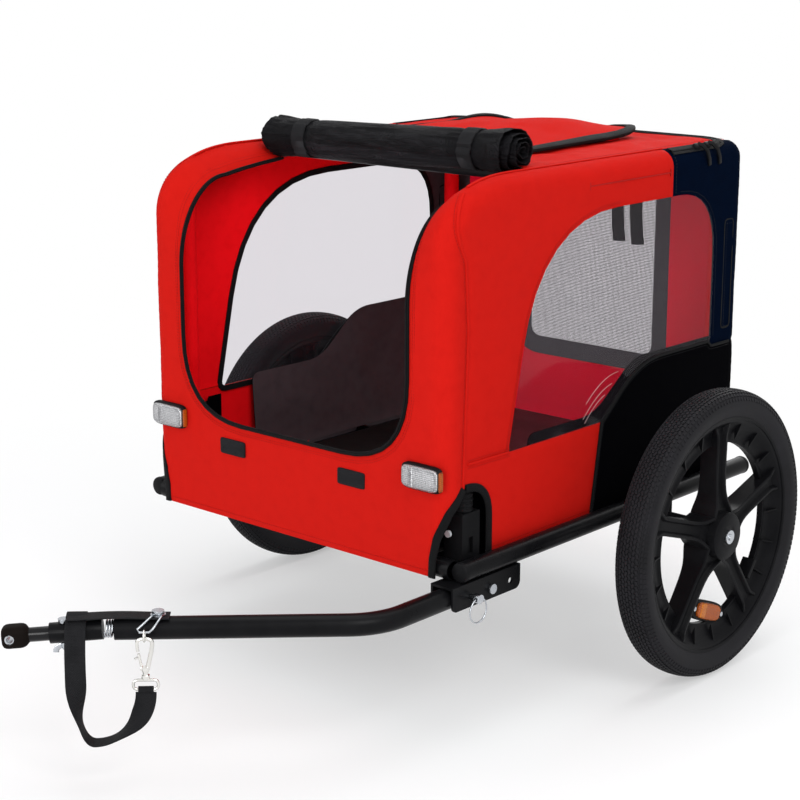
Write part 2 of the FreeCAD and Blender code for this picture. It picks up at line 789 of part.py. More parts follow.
def make_coil():
    """The coupling spring: one unbroken helix made of quarter turns."""
    start = bar_end + seat + coil_wire / 2
    per_turn = 4
    count = int(coil_turns * per_turn)

    def at(turns):
        angle = 2 * math.pi * turns
        run = start + coil_pitch * turns
        return on_bar(run, coil_r * math.cos(angle), coil_r * math.sin(angle))

    edges = []
    for k in range(count):
        edges.append(Part.Arc(at(k / per_turn), at((k + 0.5) / per_turn), at((k + 1) / per_turn)).toShape())
    path = Part.Wire(edges)
    points = [at(k / 90) for k in range(int(coil_turns * 90) + 1)]
    gap = min((points[i] - points[j]).Length for i in range(0, len(points), 3)
              for j in range(i + 45, len(points), 3)) - coil_wire
    print("coupling spring: %.1f turns, least gap to itself %.2f mm" % (coil_turns, gap))
    pieces["coupling_spring"] = [sweep(path, coil_wire / 2)]


def make_coupling():
    arm = rod(on_bar(arm_start), on_bar(stem_start), arm_d / 2)
    arm = arm.cut(rod(on_bar(arm_start + 3), on_bar(stem_start + 1), stem_d / 2 + running))
    stem = rod(on_bar(arm_start + 12), on_bar(knob_start + knob_len / 2), stem_d / 2)
    collar = Part.makeCone(stem_d / 2 + 1, knob_d / 2, 10, on_bar(knob_start), bar_dir)
    barrel = rod(on_bar(knob_start + 9), on_bar(knob_end), knob_d / 2)
    end_edge = [e for e in barrel.Edges if (e.CenterOfMass - on_bar(knob_end)).Length < 0.01]
    knob = joined([collar, barrel.makeFillet(knob_round, end_edge)])
    pocket = knob_start + knob_len / 2 + seat
    knob = knob.cut(rod(on_bar(knob_start - 1), on_bar(pocket), stem_d / 2 + running))
    eye = knob_start + knob_eye
    knob = knob.cut(rod(on_bar(eye, -knob_d), on_bar(eye, knob_d), knob_bore_r))
    spot = arm_start + clamp_at
    through = rod(on_bar(spot, 0, -60), on_bar(spot, 0, 60), bolt_r + running)
    arm = arm.cut(through)
    stem = stem.cut(through)
    top = on_bar(spot, 0, arm_d / 2)
    low = on_bar(spot, 0, -arm_d / 2 - 13)
    nut_top = on_bar(spot, 0, -arm_d / 2 - seat)
    nut = rod(nut_top, nut_top - Z * 8, 6)
    wings = box(-2, 2, -15, 15, -12, -3)
    wings.rotate(V(0, 0, 0), Z, -bend_turn)
    wings.translate(nut_top)
    nut = joined([nut, wings]).cut(rod(nut_top + Z, nut_top - Z * 20, bolt_r + running))
    clamp = bolt(top, low, bolt_r, bolt_head_r + 0.5, bolt_head_h + 1)
    made = {"coupling_arm": arm, "coupling_stem": stem, "coupling_knob": knob, "clamp_bolt": clamp,
            "wing_nut": nut}
    for name, shape in made.items():
        shape.rotate(on_bar(bar_end + coil_len / 2), bar_side, droop)
        pieces[name] = [shape]


def bar_box(run0, run1, side0, side1, up0, up1):
    """A box whose long side lies along the slanting part of the bar."""
    shape = box(run0, run1, side0, side1, up0, up1)
    shape.rotate(V(0, 0, 0), Z, math.degrees(math.atan2(bar_dir.y, bar_dir.x)))
    shape.translate(bend_at)
    return shape


def make_anchor():
    """The bent tab under the strap bolt, and the ring that hangs in it."""
    low = bar_r + seat + strap_t + seat
    tab = joined([bar_box(strap_fix - 8, hook_at + 7, -8, hook_side + 1, low, low + tab_t),
                  bar_box(hook_at - 7, hook_at + 7, hook_side - 1, hook_side + 1, 0, low + tab_t)])
    tab = tab.cut(rod(on_bar(strap_fix), on_bar(strap_fix, 0, 40), bolt_r + running))
    tab = tab.cut(rod(on_bar(hook_at, 0, tab_hole), on_bar(hook_at, 60, tab_hole), link_wire + 0.6))
    screw = bolt(on_bar(strap_fix, 0, low + tab_t), on_bar(strap_fix), bolt_r, bolt_head_r + 2, bolt_head_h)
    pieces["strap_bolt"] = [screw]
    pieces["strap_anchor"] = [tab]
    hung = on_bar(hook_at, hook_side, tab_hole - link_r)
    pieces["strap_ring"] = [Part.makeTorus(link_r, link_wire, hung, bar_dir)]


def make_hook():
    """Snap hook: a bow over the ring, a hinged gate and an eye for the webbing."""
    bow_top = tab_hole - 2 * link_r + link_wire + seat + hook_wire

    def at(run, drop):
        return on_bar(hook_at + run, hook_side, bow_top - drop)

    bow = [at(-2, 40), at(-9, 12), at(-9, 0), at(9, 0), at(9, 12), at(8, 16)]
    path = rounded(bow, [0, 30, 8.5, 8.5, 8, 0])
    body = rod(at(0, 36), at(0, 50), 4.5)
    eye_top = 51
    eye = rounded([at(-eye_half, eye_top), at(eye_half, eye_top), at(eye_half, eye_top + eye_drop),
                   at(-eye_half, eye_top + eye_drop)], [5, 5, 5, 5], True)
    loop = sweep(eye, eye_wire)
    hook = joined([sweep(path, hook_wire), body, loop])
    gate_foot = at(4, 37)
    gate = rod(gate_foot, at(7.6, 16 + hook_wire + seat), hook_wire - 0.4)
    hook = hook.cut(rod(gate_foot, at(7.6, 16 + hook_wire), hook_wire - 0.4 + seat))
    hook = hook.cut(rod(gate_foot - bar_side * 1.8, gate_foot + bar_side * 1.8, 3.2))
    gate = gate.fuse(rod(gate_foot - bar_side * 1.5, gate_foot + bar_side * 1.5, 2.6)).removeSplitter()
    pieces["snap_hook"] = [hook]
    pieces["snap_hook_gate"] = [gate]
    return bow_top - eye_top - eye_drop


def make_strap(eye_up):
    """Safety strap: along the bar, folded over the arm, down in a twisted loop and up to the hook's eye."""
    low = bar_r + seat
    layer = low + 1.5 * strap_t
    flat = bar_box(strap_fix - 14, strap_over + strap_w / 2, -strap_w / 2, strap_w / 2, low, low + strap_t)
    end_up = eye_up - eye_wire - strap_t
    stops = [(strap_over, -strap_w / 2, layer), (strap_over, strap_side, layer),
             (strap_over, strap_side, strap_low), (strap_over - 43, strap_side - 2, strap_low),
             (hook_at, hook_side, strap_low + 36), (hook_at, hook_side, end_up)]
    points = [on_bar(*stop) for stop in stops]
    radii = [0]
    for before, here, after in zip(points, points[1:], points[2:]):
        bend = (here - before).getAngle(after - here)
        radii.append(0.45 * min((here - before).Length, (after - here).Length) / math.tan(bend / 2))
    radii[1] = strap_fold_r
    path = rounded(points, radii + [0])
    print("strap: bends of", ["%.0f" % r for r in radii[1:]], "mm,",
          "%.0f mm of webbing" % (path.Length + strap_over - strap_fix + strap_w))

    sections = []
    done = 0.0
    for edge in path.Edges:
        steps = 5 if edge.Curve.TypeId == "Part::GeomCircle" else max(1, round(edge.Length / 16))
        first, last = edge.ParameterRange
        for k in range(steps + (edge.isSame(path.Edges[-1]))):
            share = (done + edge.Length * k / steps) / path.Length
            spot = edge.valueAt(first + (last - first) * k / steps)
            along = edge.tangentAt(first + (last - first) * k / steps)
            spin = math.pi * min(1, max(0, (share - twist_from) / (twist_to - twist_from)))
            wide = bar_dir * math.cos(spin) + bar_side * math.sin(spin)
            wide = (wide - along * wide.dot(along)).normalize() * (strap_w / 2)
            thick = along.cross(wide).normalize() * (strap_t / 2)
            ring = [spot + wide + thick, spot - wide + thick, spot - wide - thick, spot + wide - thick]
            sections.append(Part.makePolygon(ring + ring[:1]))
        done += edge.Length
    hanging = Part.makeLoft(sections, True, True)
    eye_axis = on_bar(hook_at, hook_side, eye_up)
    half = bar_dir * (eye_half - 5)
    sleeve = rod(eye_axis - half, eye_axis + half, eye_wire + strap_t + seat)
    sleeve = sleeve.cut(rod(eye_axis - half, eye_axis + half, eye_wire + seat))
    flat = flat.cut(rod(on_bar(strap_fix), on_bar(strap_fix, 0, 40), bolt_r + running))
    pieces["safety_strap"] = [joined([flat, hanging, sleeve])]


def main():
    wheel_set(1)
    wheel_set(-1)
    make_rails()
    screws = make_floor()
    pieces["frame_bolts"] = screws + make_axle_brackets() + make_feet()
    make_arches()
    make_cover()
    make_cover_trim()
    make_bracket()
    make_tow_tube()
    make_lock_pin()
    make_coil()
    make_coupling()
    make_anchor()
    make_strap(make_hook())
    os.makedirs("parts", exist_ok=True)
    for name, shapes in pieces.items():
        solids = [s for shape in shapes for s in shape.Solids]
        for solid in solids:
            solid.translate(centre_shift)
        whole = solids[0] if len(solids) == 1 else Part.makeCompound(solids)
        whole.exportStep("parts/%s.step" % name)
    print(len(pieces), "pieces; axle at y = %.1f" % centre_shift.y)


main()
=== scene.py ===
# %% [markdown]
# # A dog bike trailer, finished over its construction model
# The construction model gives every tube, wheel and panel its true place. This lesson keeps those pieces as
# a fixed frame and makes the surfaces that a person sees: sewn cloth, moulded wheels, plated hardware.
# Sizes below are millimetres, counted from the wheel axle (y) and from the ground (z), as on a workshop
# drawing.

# %% Load the frame
import math

import bmesh
import bpy
import numpy as np
from mathutils import Matrix, Vector, geometry, noise


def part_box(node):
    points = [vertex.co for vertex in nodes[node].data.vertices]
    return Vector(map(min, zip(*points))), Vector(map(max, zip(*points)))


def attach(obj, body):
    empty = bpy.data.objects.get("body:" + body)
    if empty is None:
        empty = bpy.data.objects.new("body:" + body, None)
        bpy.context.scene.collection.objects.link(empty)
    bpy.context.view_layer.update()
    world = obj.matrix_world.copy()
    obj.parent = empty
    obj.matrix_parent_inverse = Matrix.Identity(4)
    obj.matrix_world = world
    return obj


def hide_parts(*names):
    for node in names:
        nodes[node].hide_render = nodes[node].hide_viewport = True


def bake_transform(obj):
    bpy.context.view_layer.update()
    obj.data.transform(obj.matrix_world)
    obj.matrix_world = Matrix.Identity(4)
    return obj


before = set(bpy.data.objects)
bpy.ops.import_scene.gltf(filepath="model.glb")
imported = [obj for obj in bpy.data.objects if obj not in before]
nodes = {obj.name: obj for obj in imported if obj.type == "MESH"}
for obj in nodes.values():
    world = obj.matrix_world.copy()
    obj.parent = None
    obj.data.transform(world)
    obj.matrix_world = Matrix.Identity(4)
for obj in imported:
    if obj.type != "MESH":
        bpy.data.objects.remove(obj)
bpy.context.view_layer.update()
scene = bpy.context.scene
scene.view_settings.view_transform = "Standard"
MM = 0.001
SIDES = ((1, "left"), (-1, "right"))
tyre_low, tyre_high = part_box("left_tyre")
AXLE_Y = (tyre_low.y + tyre_high.y) / 2 / MM
WHEEL_X = (tyre_low.x + tyre_high.x) / 2 / MM
WHEEL_R = (tyre_high.z - tyre_low.z) / 2 / MM


def place(x, y, z):
    """A point in the shared frame, in metres, from workshop millimetres."""
    return Vector((x * MM, (y + AXLE_Y) * MM, z * MM))


def place_all(points):
    grid = np.array(points, float)
    grid[:, 1] += AXLE_Y
    return grid * MM


print("frame:", len(nodes), "nodes, axle at", round(AXLE_Y, 1), "mm, wheel radius", round(WHEEL_R, 1), "mm")

# %% [markdown]
# ## Camera and light
# The view is the one of a catalogue picture: a long lens from the front left corner, a little above the
# roof. Large soft lamps keep the colours as they are written. A small one inside stands for the light that
# comes through the cover's thin cloth.

# %% Camera and lamps
CAMERA_AT = (1713.1, -2122.7, 1010.1)
CAMERA_AIM = (-4.7, -199.7, 358.4)
LENS = 85.46

cam = bpy.data.objects.new("camera", bpy.data.cameras.new("camera"))
scene.collection.objects.link(cam)
scene.camera = cam
cam.data.lens = LENS
cam.data.sensor_width = 36.0
cam.location = place(*CAMERA_AT)
cam.rotation_euler = (place(*CAMERA_AIM) - place(*CAMERA_AT)).to_track_quat("-Z", "Y").to_euler()


def lamp(name, at, aim, size, power):
    light = bpy.data.lights.new(name, "AREA")
    light.size = size
    light.energy = power
    obj = bpy.data.objects.new(name, light)
    obj.location = at
    obj.rotation_euler = (Vector(aim) - Vector(at)).to_track_quat("-Z", "Y").to_euler()
    scene.collection.objects.link(obj)
    return obj


lamp("key_lamp", (3.1, -1.3, 2.7), (0, 0, 0.4), 2.0, 64)
lamp("fill_lamp", (-2.9, -2.4, 2.0), (0, 0, 0.4), 2.4, 30)
lamp("door_lamp", (0.9, -3.3, 1.1), (-0.1, 0.1, 0.45), 1.4, 40)
lamp("top_lamp", (0.2, 0.6, 3.4), (0, 0, 0.4), 2.6, 40)
lamp("rear_lamp", (-0.6, 3.2, 2.0), (0, 0, 0.4), 2.4, 36)
cabin_lamp = lamp("cabin_lamp", (0.0, 0.02, 0.66), (0.0, 0.5, 0.34), 0.30, 0.56)
cabin_lamp.visible_camera = cabin_lamp.visible_glossy = False
print("camera and six lamps")

# %% [markdown]
# ## Backdrop and floor
# The backdrop is white only in sight: for the camera, in mirrors and through glass. All other rays meet a
# soft grey sky, so the white adds no light. The pale floor takes the trailer's shadow and fades into the
# same white further out.

# %% Helpers for node trees


def math_node(tree, operation, a, b=None):
    node = tree.nodes.new("ShaderNodeMath")
    node.operation = operation
    for socket, value in zip(node.inputs, (a, b)):
        if isinstance(value, (int, float)):
            socket.default_value = value
        elif value is not None:
            tree.links.new(value, socket)
    return node.outputs[0]


def add_node(tree, kind, **values):
    """A new node with values on its sockets; a _ in a name stands for a space."""
    node = tree.nodes.new(kind)
    for label, value in values.items():
        node.inputs[label.replace("_", " ")].default_value = value
    return node


def mix_shaders(tree, share, first, second):
    """Two shaders mixed by a number or a socket, which is one where only the second shows."""
    node = tree.nodes.new("ShaderNodeMixShader")
    if isinstance(share, float):
        node.inputs["Fac"].default_value = share
    else:
        tree.links.new(share, node.inputs["Fac"])
    tree.links.new(first, node.inputs[1])
    tree.links.new(second, node.inputs[2])
    return node.outputs[0]


def in_sight(tree):
    """One for rays from the camera, from a mirror or through glass."""
    rays = tree.nodes.new("ShaderNodeLightPath")
    sight = rays.outputs["Is Camera Ray"]
    for label in ("Is Glossy Ray", "Is Transmission Ray"):
        sight = math_node(tree, "MAXIMUM", sight, rays.outputs[label])
    return sight


print("helpers for node trees")

# %% Backdrop
world = bpy.data.worlds.new("studio")
scene.world = world
world.use_nodes = True
wn = world.node_tree
sky = wn.nodes["Background"]
sky.inputs["Color"].default_value = (0.92, 0.94, 0.97, 1)
sky.inputs["Strength"].default_value = 0.5
white = add_node(wn, "ShaderNodeBackground", Color=(1, 1, 1, 1))
backdrop = mix_shaders(wn, in_sight(wn), sky.outputs[0], white.outputs[0])
wn.links.new(backdrop, wn.nodes["World Output"].inputs["Surface"])
print("backdrop:", world.name)

# %% Floor
SHADOW_TO, WHITE_FROM, WHITE_NEAR = 0.8, 1.5, 0.4
floor_mesh = bpy.data.meshes.new("studio_floor")
floor_mesh.from_pydata([(-9, -9, 0), (9, -9, 0), (9, 9, 0), (-9, 9, 0)], [], [(0, 1, 2, 3)])
floor = bpy.data.objects.new("studio_floor", floor_mesh)
scene.collection.objects.link(floor)
paper = bpy.data.materials.new("pale_floor")
paper.use_nodes = True
pn = paper.node_tree
matt = pn.nodes["Principled BSDF"]
matt.inputs["Base Color"].default_value = (0.93, 0.93, 0.93, 1)
matt.inputs["Roughness"].default_value = 0.9
glow = pn.nodes.new("ShaderNodeEmission")
away = pn.nodes.new("ShaderNodeVectorMath")
away.operation = "LENGTH"
pn.links.new(pn.nodes.new("ShaderNodeTexCoord").outputs["Object"], away.inputs[0])
fade = add_node(pn, "ShaderNodeMapRange", From_Min=SHADOW_TO, From_Max=WHITE_FROM, To_Min=WHITE_NEAR)
pn.links.new(away.outputs["Value"], fade.inputs["Value"])
seen_fade = math_node(pn, "MULTIPLY", fade.outputs["Result"], in_sight(pn))
shown = mix_shaders(pn, seen_fade, matt.outputs[0], glow.outputs[0])
pn.links.new(shown, pn.nodes["Material Output"].inputs["Surface"])
floor_mesh.materials.append(paper)
print("floor:", floor.name)

# %% [markdown]
# ## Shared surface effects
# Real surfaces vary: cloth has a weave, moulded plastic a fine grain, plated steel a slight cloud. Each
# effect is a small node group built once. It puts out numbers that change over the surface, and each finish
# uses them with its own values.

# %% Weave


def new_group(name, inputs, outputs):
    group = bpy.data.node_groups.new(name, "ShaderNodeTree")
    for label, kind, value in inputs:
        socket = group.interface.new_socket(label, in_out="INPUT", socket_type=kind)
        if value is not None:
            socket.default_value = value
    for label in outputs:
        group.interface.new_socket(label, in_out="OUTPUT", socket_type="NodeSocketFloat")
    return group, group.nodes.new("NodeGroupInput"), group.nodes.new("NodeGroupOutput")


def noise_node(tree, vector, scale, detail=3.0, roughness=0.55):
    node = add_node(tree, "ShaderNodeTexNoise", Detail=detail, Roughness=roughness)
    tree.links.new(vector, node.inputs["Vector"])
    if isinstance(scale, (int, float)):
        node.inputs["Scale"].default_value = scale
    else:
        tree.links.new(scale, node.inputs["Scale"])
    return node.outputs["Fac"]


def build_weave():
    """Plain weave: threads over and under each other, one pitch apart."""
    group, start, end = new_group("plain_weave", [("Vector", "NodeSocketVector", None),
                                                  ("Threads per metre", "NodeSocketFloat", 900.0)],
                                  ["Height", "Shade", "Gap"])
    split = group.nodes.new("ShaderNodeSeparateXYZ")
    scaled = group.nodes.new("ShaderNodeVectorMath")
    scaled.operation = "SCALE"
    group.links.new(start.outputs["Vector"], scaled.inputs[0])
    group.links.new(start.outputs["Threads per metre"], scaled.inputs["Scale"])
    group.links.new(scaled.outputs[0], split.inputs[0])
    across, along = split.outputs["X"], split.outputs["Y"]
    warp = math_node(group, "ABSOLUTE",
                     math_node(group, "SINE", math_node(group, "MULTIPLY", across, math.pi)))
    weft = math_node(group, "ABSOLUTE",
                     math_node(group, "SINE", math_node(group, "MULTIPLY", along, math.pi)))
    cells = math_node(group, "ADD", math_node(group, "FLOOR", across), math_node(group, "FLOOR", along))
    odd = math_node(group, "MULTIPLY",
                    math_node(group, "FRACT", math_node(group, "MULTIPLY", cells, 0.5)), 2.0)
    even = math_node(group, "SUBTRACT", 1.0, odd)
    height = math_node(group, "ADD", math_node(group, "MULTIPLY", warp, odd),
                       math_node(group, "MULTIPLY", weft, even))
    group.links.new(height, end.inputs["Height"])
    slub = noise_node(group, start.outputs["Vector"], 60.0, 4.0)
    group.links.new(math_node(group, "ADD", math_node(group, "MULTIPLY", height, 0.3), slub),
                    end.inputs["Shade"])
    group.links.new(math_node(group, "MINIMUM", warp, weft), end.inputs["Gap"])
    return group


WEAVE = build_weave()
print("node group:", WEAVE.name)

# %% Grain


def build_grain():
    """Cloudy tone and fine grain of moulded or plated surfaces."""
    group, start, end = new_group("fine_grain", [("Grain scale", "NodeSocketFloat", 900.0),
                                                 ("Cloud scale", "NodeSocketFloat", 22.0)],
                                  ["Grain", "Cloud", "Scuff"])
    coords = group.nodes.new("ShaderNodeTexCoord").outputs["Object"]
    group.links.new(noise_node(group, coords, start.outputs["Grain scale"], 2.0), end.inputs["Grain"])
    group.links.new(noise_node(group, coords, start.outputs["Cloud scale"], 4.0), end.inputs["Cloud"])
    spots = noise_node(group, coords, 140.0, 6.0, 0.7)
    sharp = math_node(group, "MULTIPLY", math_node(group, "SUBTRACT", spots, 0.6), 6.0)
    group.links.new(math_node(group, "MINIMUM", math_node(group, "MAXIMUM", sharp, 0.0), 1.0),
                    end.inputs["Scuff"])
    return group


GRAIN = build_grain()
print("node group:", GRAIN.name)

# %% [markdown]
# ## Finishes
# A finish is one Principled shader with its constant values set on its own sockets, and the group's numbers
# linked only where the surface really varies: tone, roughness and a small bump.

# %% Finish helpers


def shade_between(tree, value, dark, light):
    ramp = tree.nodes.new("ShaderNodeValToRGB")
    ramp.color_ramp.elements[0].color = (*dark, 1)
    ramp.color_ramp.elements[1].color = (*light, 1)
    ramp.color_ramp.elements[0].position = 0.3
    ramp.color_ramp.elements[1].position = 0.75
    tree.links.new(value, ramp.inputs["Fac"])
    return ramp.outputs["Color"]


def range_between(tree, value, low, high):
    node = add_node(tree, "ShaderNodeMapRange", From_Min=0.3, From_Max=0.7, To_Min=low, To_Max=high)
    tree.links.new(value, node.inputs["Value"])
    return node.outputs["Result"]


def bump(tree, height, distance, strength):
    node = add_node(tree, "ShaderNodeBump", Distance=distance, Strength=strength)
    tree.links.new(height, node.inputs["Height"])
    return node.outputs["Normal"]


# %% Finish makers


def new_finish(name, **constants):
    mat = bpy.data.materials.new(name)
    mat.use_nodes = True
    tree = mat.node_tree
    shader = tree.nodes["Principled BSDF"]
    for label, value in constants.items():
        socket = shader.inputs[label.replace("_", " ")]
        socket.default_value = (*value, 1) if isinstance(value, tuple) else value
    return mat, tree, shader


def cloth_finish(name, dark, light, rough, threads, depth=0.00025, strength=0.35, shine=0.05):
    mat, tree, shader = new_finish(name, Specular_IOR_Level=shine)
    weave = tree.nodes.new("ShaderNodeGroup")
    weave.node_tree = WEAVE
    weave.inputs["Threads per metre"].default_value = threads
    uv = tree.nodes.new("ShaderNodeTexCoord")
    tree.links.new(uv.outputs["UV"], weave.inputs["Vector"])
    tree.links.new(shade_between(tree, weave.outputs["Shade"], dark, light), shader.inputs["Base Color"])
    tree.links.new(range_between(tree, weave.outputs["Shade"], rough - 0.06, rough + 0.06),
                   shader.inputs["Roughness"])
    tree.links.new(bump(tree, weave.outputs["Height"], depth, strength), shader.inputs["Normal"])
    return mat


def hard_finish(name, dark, light, rough, spread=0.06, grain=900.0, depth=0.00012, strength=0.25, shine=0.3,
                **constants):
    mat, tree, shader = new_finish(name, Specular_IOR_Level=shine, **constants)
    group = tree.nodes.new("ShaderNodeGroup")
    group.node_tree = GRAIN
    group.inputs["Grain scale"].default_value = grain
    tree.links.new(shade_between(tree, group.outputs["Cloud"], dark, light), shader.inputs["Base Color"])
    worn = math_node(tree, "ADD", group.outputs["Cloud"],
                     math_node(tree, "MULTIPLY", group.outputs["Scuff"], 0.12))
    tree.links.new(range_between(tree, worn, rough - spread, rough + spread), shader.inputs["Roughness"])
    tree.links.new(bump(tree, group.outputs["Grain"], depth, strength), shader.inputs["Normal"])
    return mat


# %% [markdown]
# The cover is red coated polyester with dark blue corners and black wheel guards. Its inner faces are a
# purer red, painted brighter than the outside for light shining through the thin cloth; the back's inner
# face is painted pinker still. Tubes are satin black paint, hardware is zinc or nickel plate.

# %% The finishes of this trailer
RED = cloth_finish("red_polyester", (0.49, 0.0070, 0.0042), (0.545, 0.0095, 0.0058), 0.7, 900, shine=0.035)
# Painted light: the back panel's inner face is a brighter, pinker red for light shining through it from
# behind.
CRIMSON_BACKLIT = cloth_finish("crimson_inside_painted_backlight", (0.84, 0.0060, 0.0280), (0.94, 0.0090, 0.0380), 0.7,
                       900, shine=0.02)
# Painted light: the other inner faces, and the sleeves, are a brighter red than the outside, for light
# shining through the thin cloth.
RED_IN_BACKLIT = cloth_finish("red_inside_painted_backlight", (0.74, 0.0034, 0.0060), (0.84, 0.0050, 0.0090), 0.7, 900, shine=0.02)
NAVY = cloth_finish("navy_polyester", (0.0004, 0.0020, 0.0080), (0.0008, 0.0034, 0.0120), 0.7,
                    900, shine=0.006)
BLACK = cloth_finish("black_polyester", (0.0004, 0.0004, 0.0008), (0.0010, 0.0010, 0.0016), 0.7,
                     900, shine=0.008)
TAUPE = cloth_finish("taupe_lining", (0.036, 0.026, 0.030), (0.056, 0.042, 0.047), 0.5, 900, shine=0.12)
TAPE = cloth_finish("black_tape", (0.0020, 0.0020, 0.0024), (0.0060, 0.0060, 0.0066), 0.6, 1400,
                    0.0004, 0.6, 0.08)
WEBBING = cloth_finish("black_webbing", (0.0060, 0.0060, 0.0070), (0.0150, 0.0150, 0.0165), 0.6, 620,
                       0.0006, 0.8, 0.07)
BINDING = cloth_finish("grey_binding", (0.050, 0.049, 0.054), (0.075, 0.073, 0.080), 0.6, 1400,
                       0.0004, shine=0.05)
PAINT = hard_finish("satin_black_paint", (0.0030, 0.0030, 0.0036), (0.0064, 0.0064, 0.0072), 0.30, 0.05,
                    500.0, shine=0.075)
GLOSS = hard_finish("gloss_black", (0.0024, 0.0024, 0.0030), (0.0050, 0.0050, 0.0058), 0.12, 0.04, 400.0,
                    0.00005, shine=0.22)
PLASTIC = hard_finish("black_plastic", (0.0036, 0.0036, 0.0042), (0.0080, 0.0080, 0.0088), 0.45, 0.06,
                      1600.0, 0.0002, shine=0.07)
RIM_PLASTIC = hard_finish("rim_plastic", (0.0040, 0.0040, 0.0048), (0.0090, 0.0090, 0.0100), 0.38, 0.07,
                          1500.0, 0.0003, shine=0.045)
TYRE = hard_finish("tyre_rubber", (0.0060, 0.0058, 0.0070), (0.0140, 0.0135, 0.0160), 0.66, 0.08, 700.0,
                   0.0004, 0.4, 0.14)
RUBBER = hard_finish("brown_black_rubber", (0.0050, 0.0036, 0.0030), (0.0090, 0.0066, 0.0056), 0.6, 0.06,
                     1200.0, 0.0003, 0.4, 0.03)
ZINC = hard_finish("zinc_plate", (0.36, 0.38, 0.41), (0.56, 0.58, 0.61), 0.24, 0.08, 700.0, Metallic=1.0)
# Painted highlight: a pale, barely metallic zinc, so screws that sit in shade still show bright.
ZINC_HIGHLIGHT = hard_finish("zinc_plate_painted_highlight", (0.58, 0.60, 0.63), (0.80, 0.82, 0.85), 0.32, shine=0.5,
                          Metallic=0.2)
NICKEL = hard_finish("nickel_plate", (0.66, 0.65, 0.62), (0.82, 0.81, 0.78), 0.12, 0.05, 500.0, 0.00005,
                     Metallic=1.0)
BOARD = hard_finish("black_board", (0.0030, 0.0026, 0.0026), (0.0060, 0.0052, 0.0050), 0.38, 0.06, 800.0,
                    0.0003, shine=0.25)
print("finishes:", len(bpy.data.materials))

# %% [markdown]
# ## Making pieces
# Three small tools make almost every piece. `skin` joins rings of points into a closed form, as a tube mill
# does. `flat_pattern` cuts a flat cloth pattern with a fine net inside, as a tailor does, ready to be laid
# over a form. `make` turns points and faces into a finished piece that rides on its body.

# %% Skins and sweeps


def skin(rings, closed=False):
    """Join rings of points into one skin, and give each face corner its place along and around it."""
    rings = [[Vector(p) for p in ring] for ring in rings]
    count, size = len(rings), len(rings[0])
    around = [0.0]
    for a, b in zip(rings[0], rings[0][1:] + rings[0][:1]):
        around.append(around[-1] + (b - a).length)
    along = [0.0]
    for a, b in zip(rings, rings[1:] + rings[:1]):
        along.append(along[-1] + (sum(b, Vector()) / size - sum(a, Vector()) / size).length)
    faces, uv = [], []
    for i in range(count if closed else count - 1):
        a, b = i * size, (i + 1) % count * size
        for j in range(size):
            k = (j + 1) % size
            faces.append((a + j, a + k, b + k, b + j))
            uv += [(around[j], along[i]), (around[j + 1], along[i]),
                   (around[j + 1], along[i + 1]), (around[j], along[i + 1])]
    if not closed:
        for first in (0, (count - 1) * size):
            faces.append(tuple(range(first, first + size)))
            uv += [(p.x, p.z) for p in rings[first // size]]
    return [p for ring in rings for p in ring], faces, uv


def circle(centre, side, up, radius, count):
    return [centre + side * radius * math.cos(t) + up * radius * math.sin(t)
            for t in (2 * math.pi * k / count for k in range(count))]


def tangents(path, closed=False):
    path = [Vector(p) for p in path]
    if closed:
        return [(b - a).normalized() for a, b in zip(path[-1:] + path[:-1], path[1:] + path[:1])]
    ends = [path[0] * 2 - path[1]] + path + [path[-1] * 2 - path[-2]]
    return [(b - a).normalized() for a, b in zip(ends, ends[2:])]


def sweep(path, section, up, closed=False):
    """Carry a flat section of (side, up) offsets in metres along a path."""
    rings = []
    for index, (spot, along) in enumerate(zip(path, tangents(path, closed))):
        high = up[index] if isinstance(up, list) else Vector(up)
        side = along.cross(high).normalized()
        high = side.cross(along).normalized()
        rings.append([Vector(spot) + side * a + high * b for a, b in section])
    return skin(rings, closed)


def oval(width, height, count=12, power=1.0):
    """A flat section with round ends; a power under 1 squares it up."""
    out = []
    for k in range(count):
        t = 2 * math.pi * k / count
        c, s = math.cos(t), math.sin(t)
        out.append((width / 2 * math.copysign(abs(c) ** power, c),
                    height / 2 * math.copysign(abs(s) ** power, s)))
    return out


print("tools for skins and sweeps")

# %% Turned and domed shapes


def spin(profile, centre, axis, count=48):
    """Turn a profile of (run, radius) pairs about an axis, as on a lathe."""
    axis = Vector(axis).normalized()
    side = axis.orthogonal().normalized()
    up = axis.cross(side)
    return skin([circle(Vector(centre) + axis * run, side, up, max(radius, 1e-5), count)
                 for run, radius in profile])


def pillow(centre, right, up, out, width, height, depth, power=0.4, count=40, dome=0.3):
    """A block with rounded corners and a softly domed face, sizes in millimetres."""
    rings = []
    for rise, scale in ((0, 1.0), (0.55, 1.0), (0.8, 0.97), (0.93, 0.9), (1.0, 0.8),
                        (1.0 + dome * 0.25, 0.4), (1.0 + dome * 0.3, 0.02)):
        edge = min(width, height) * (1 - scale)
        rings.append([centre + (right * a + up * b + out * depth * rise) * MM
                      for a, b in oval(width - edge, height - edge, count, power)])
    return skin(rings)


def join(*parts):
    """Put several skins into one."""
    verts, faces, uv = [], [], []
    for v, f, t in parts:
        base = len(verts)
        verts += list(v)
        faces += [tuple(i + base for i in face) for face in f]
        uv += list(t)
    return verts, faces, uv


print("tools for turned and domed shapes")

# %% Finished pieces


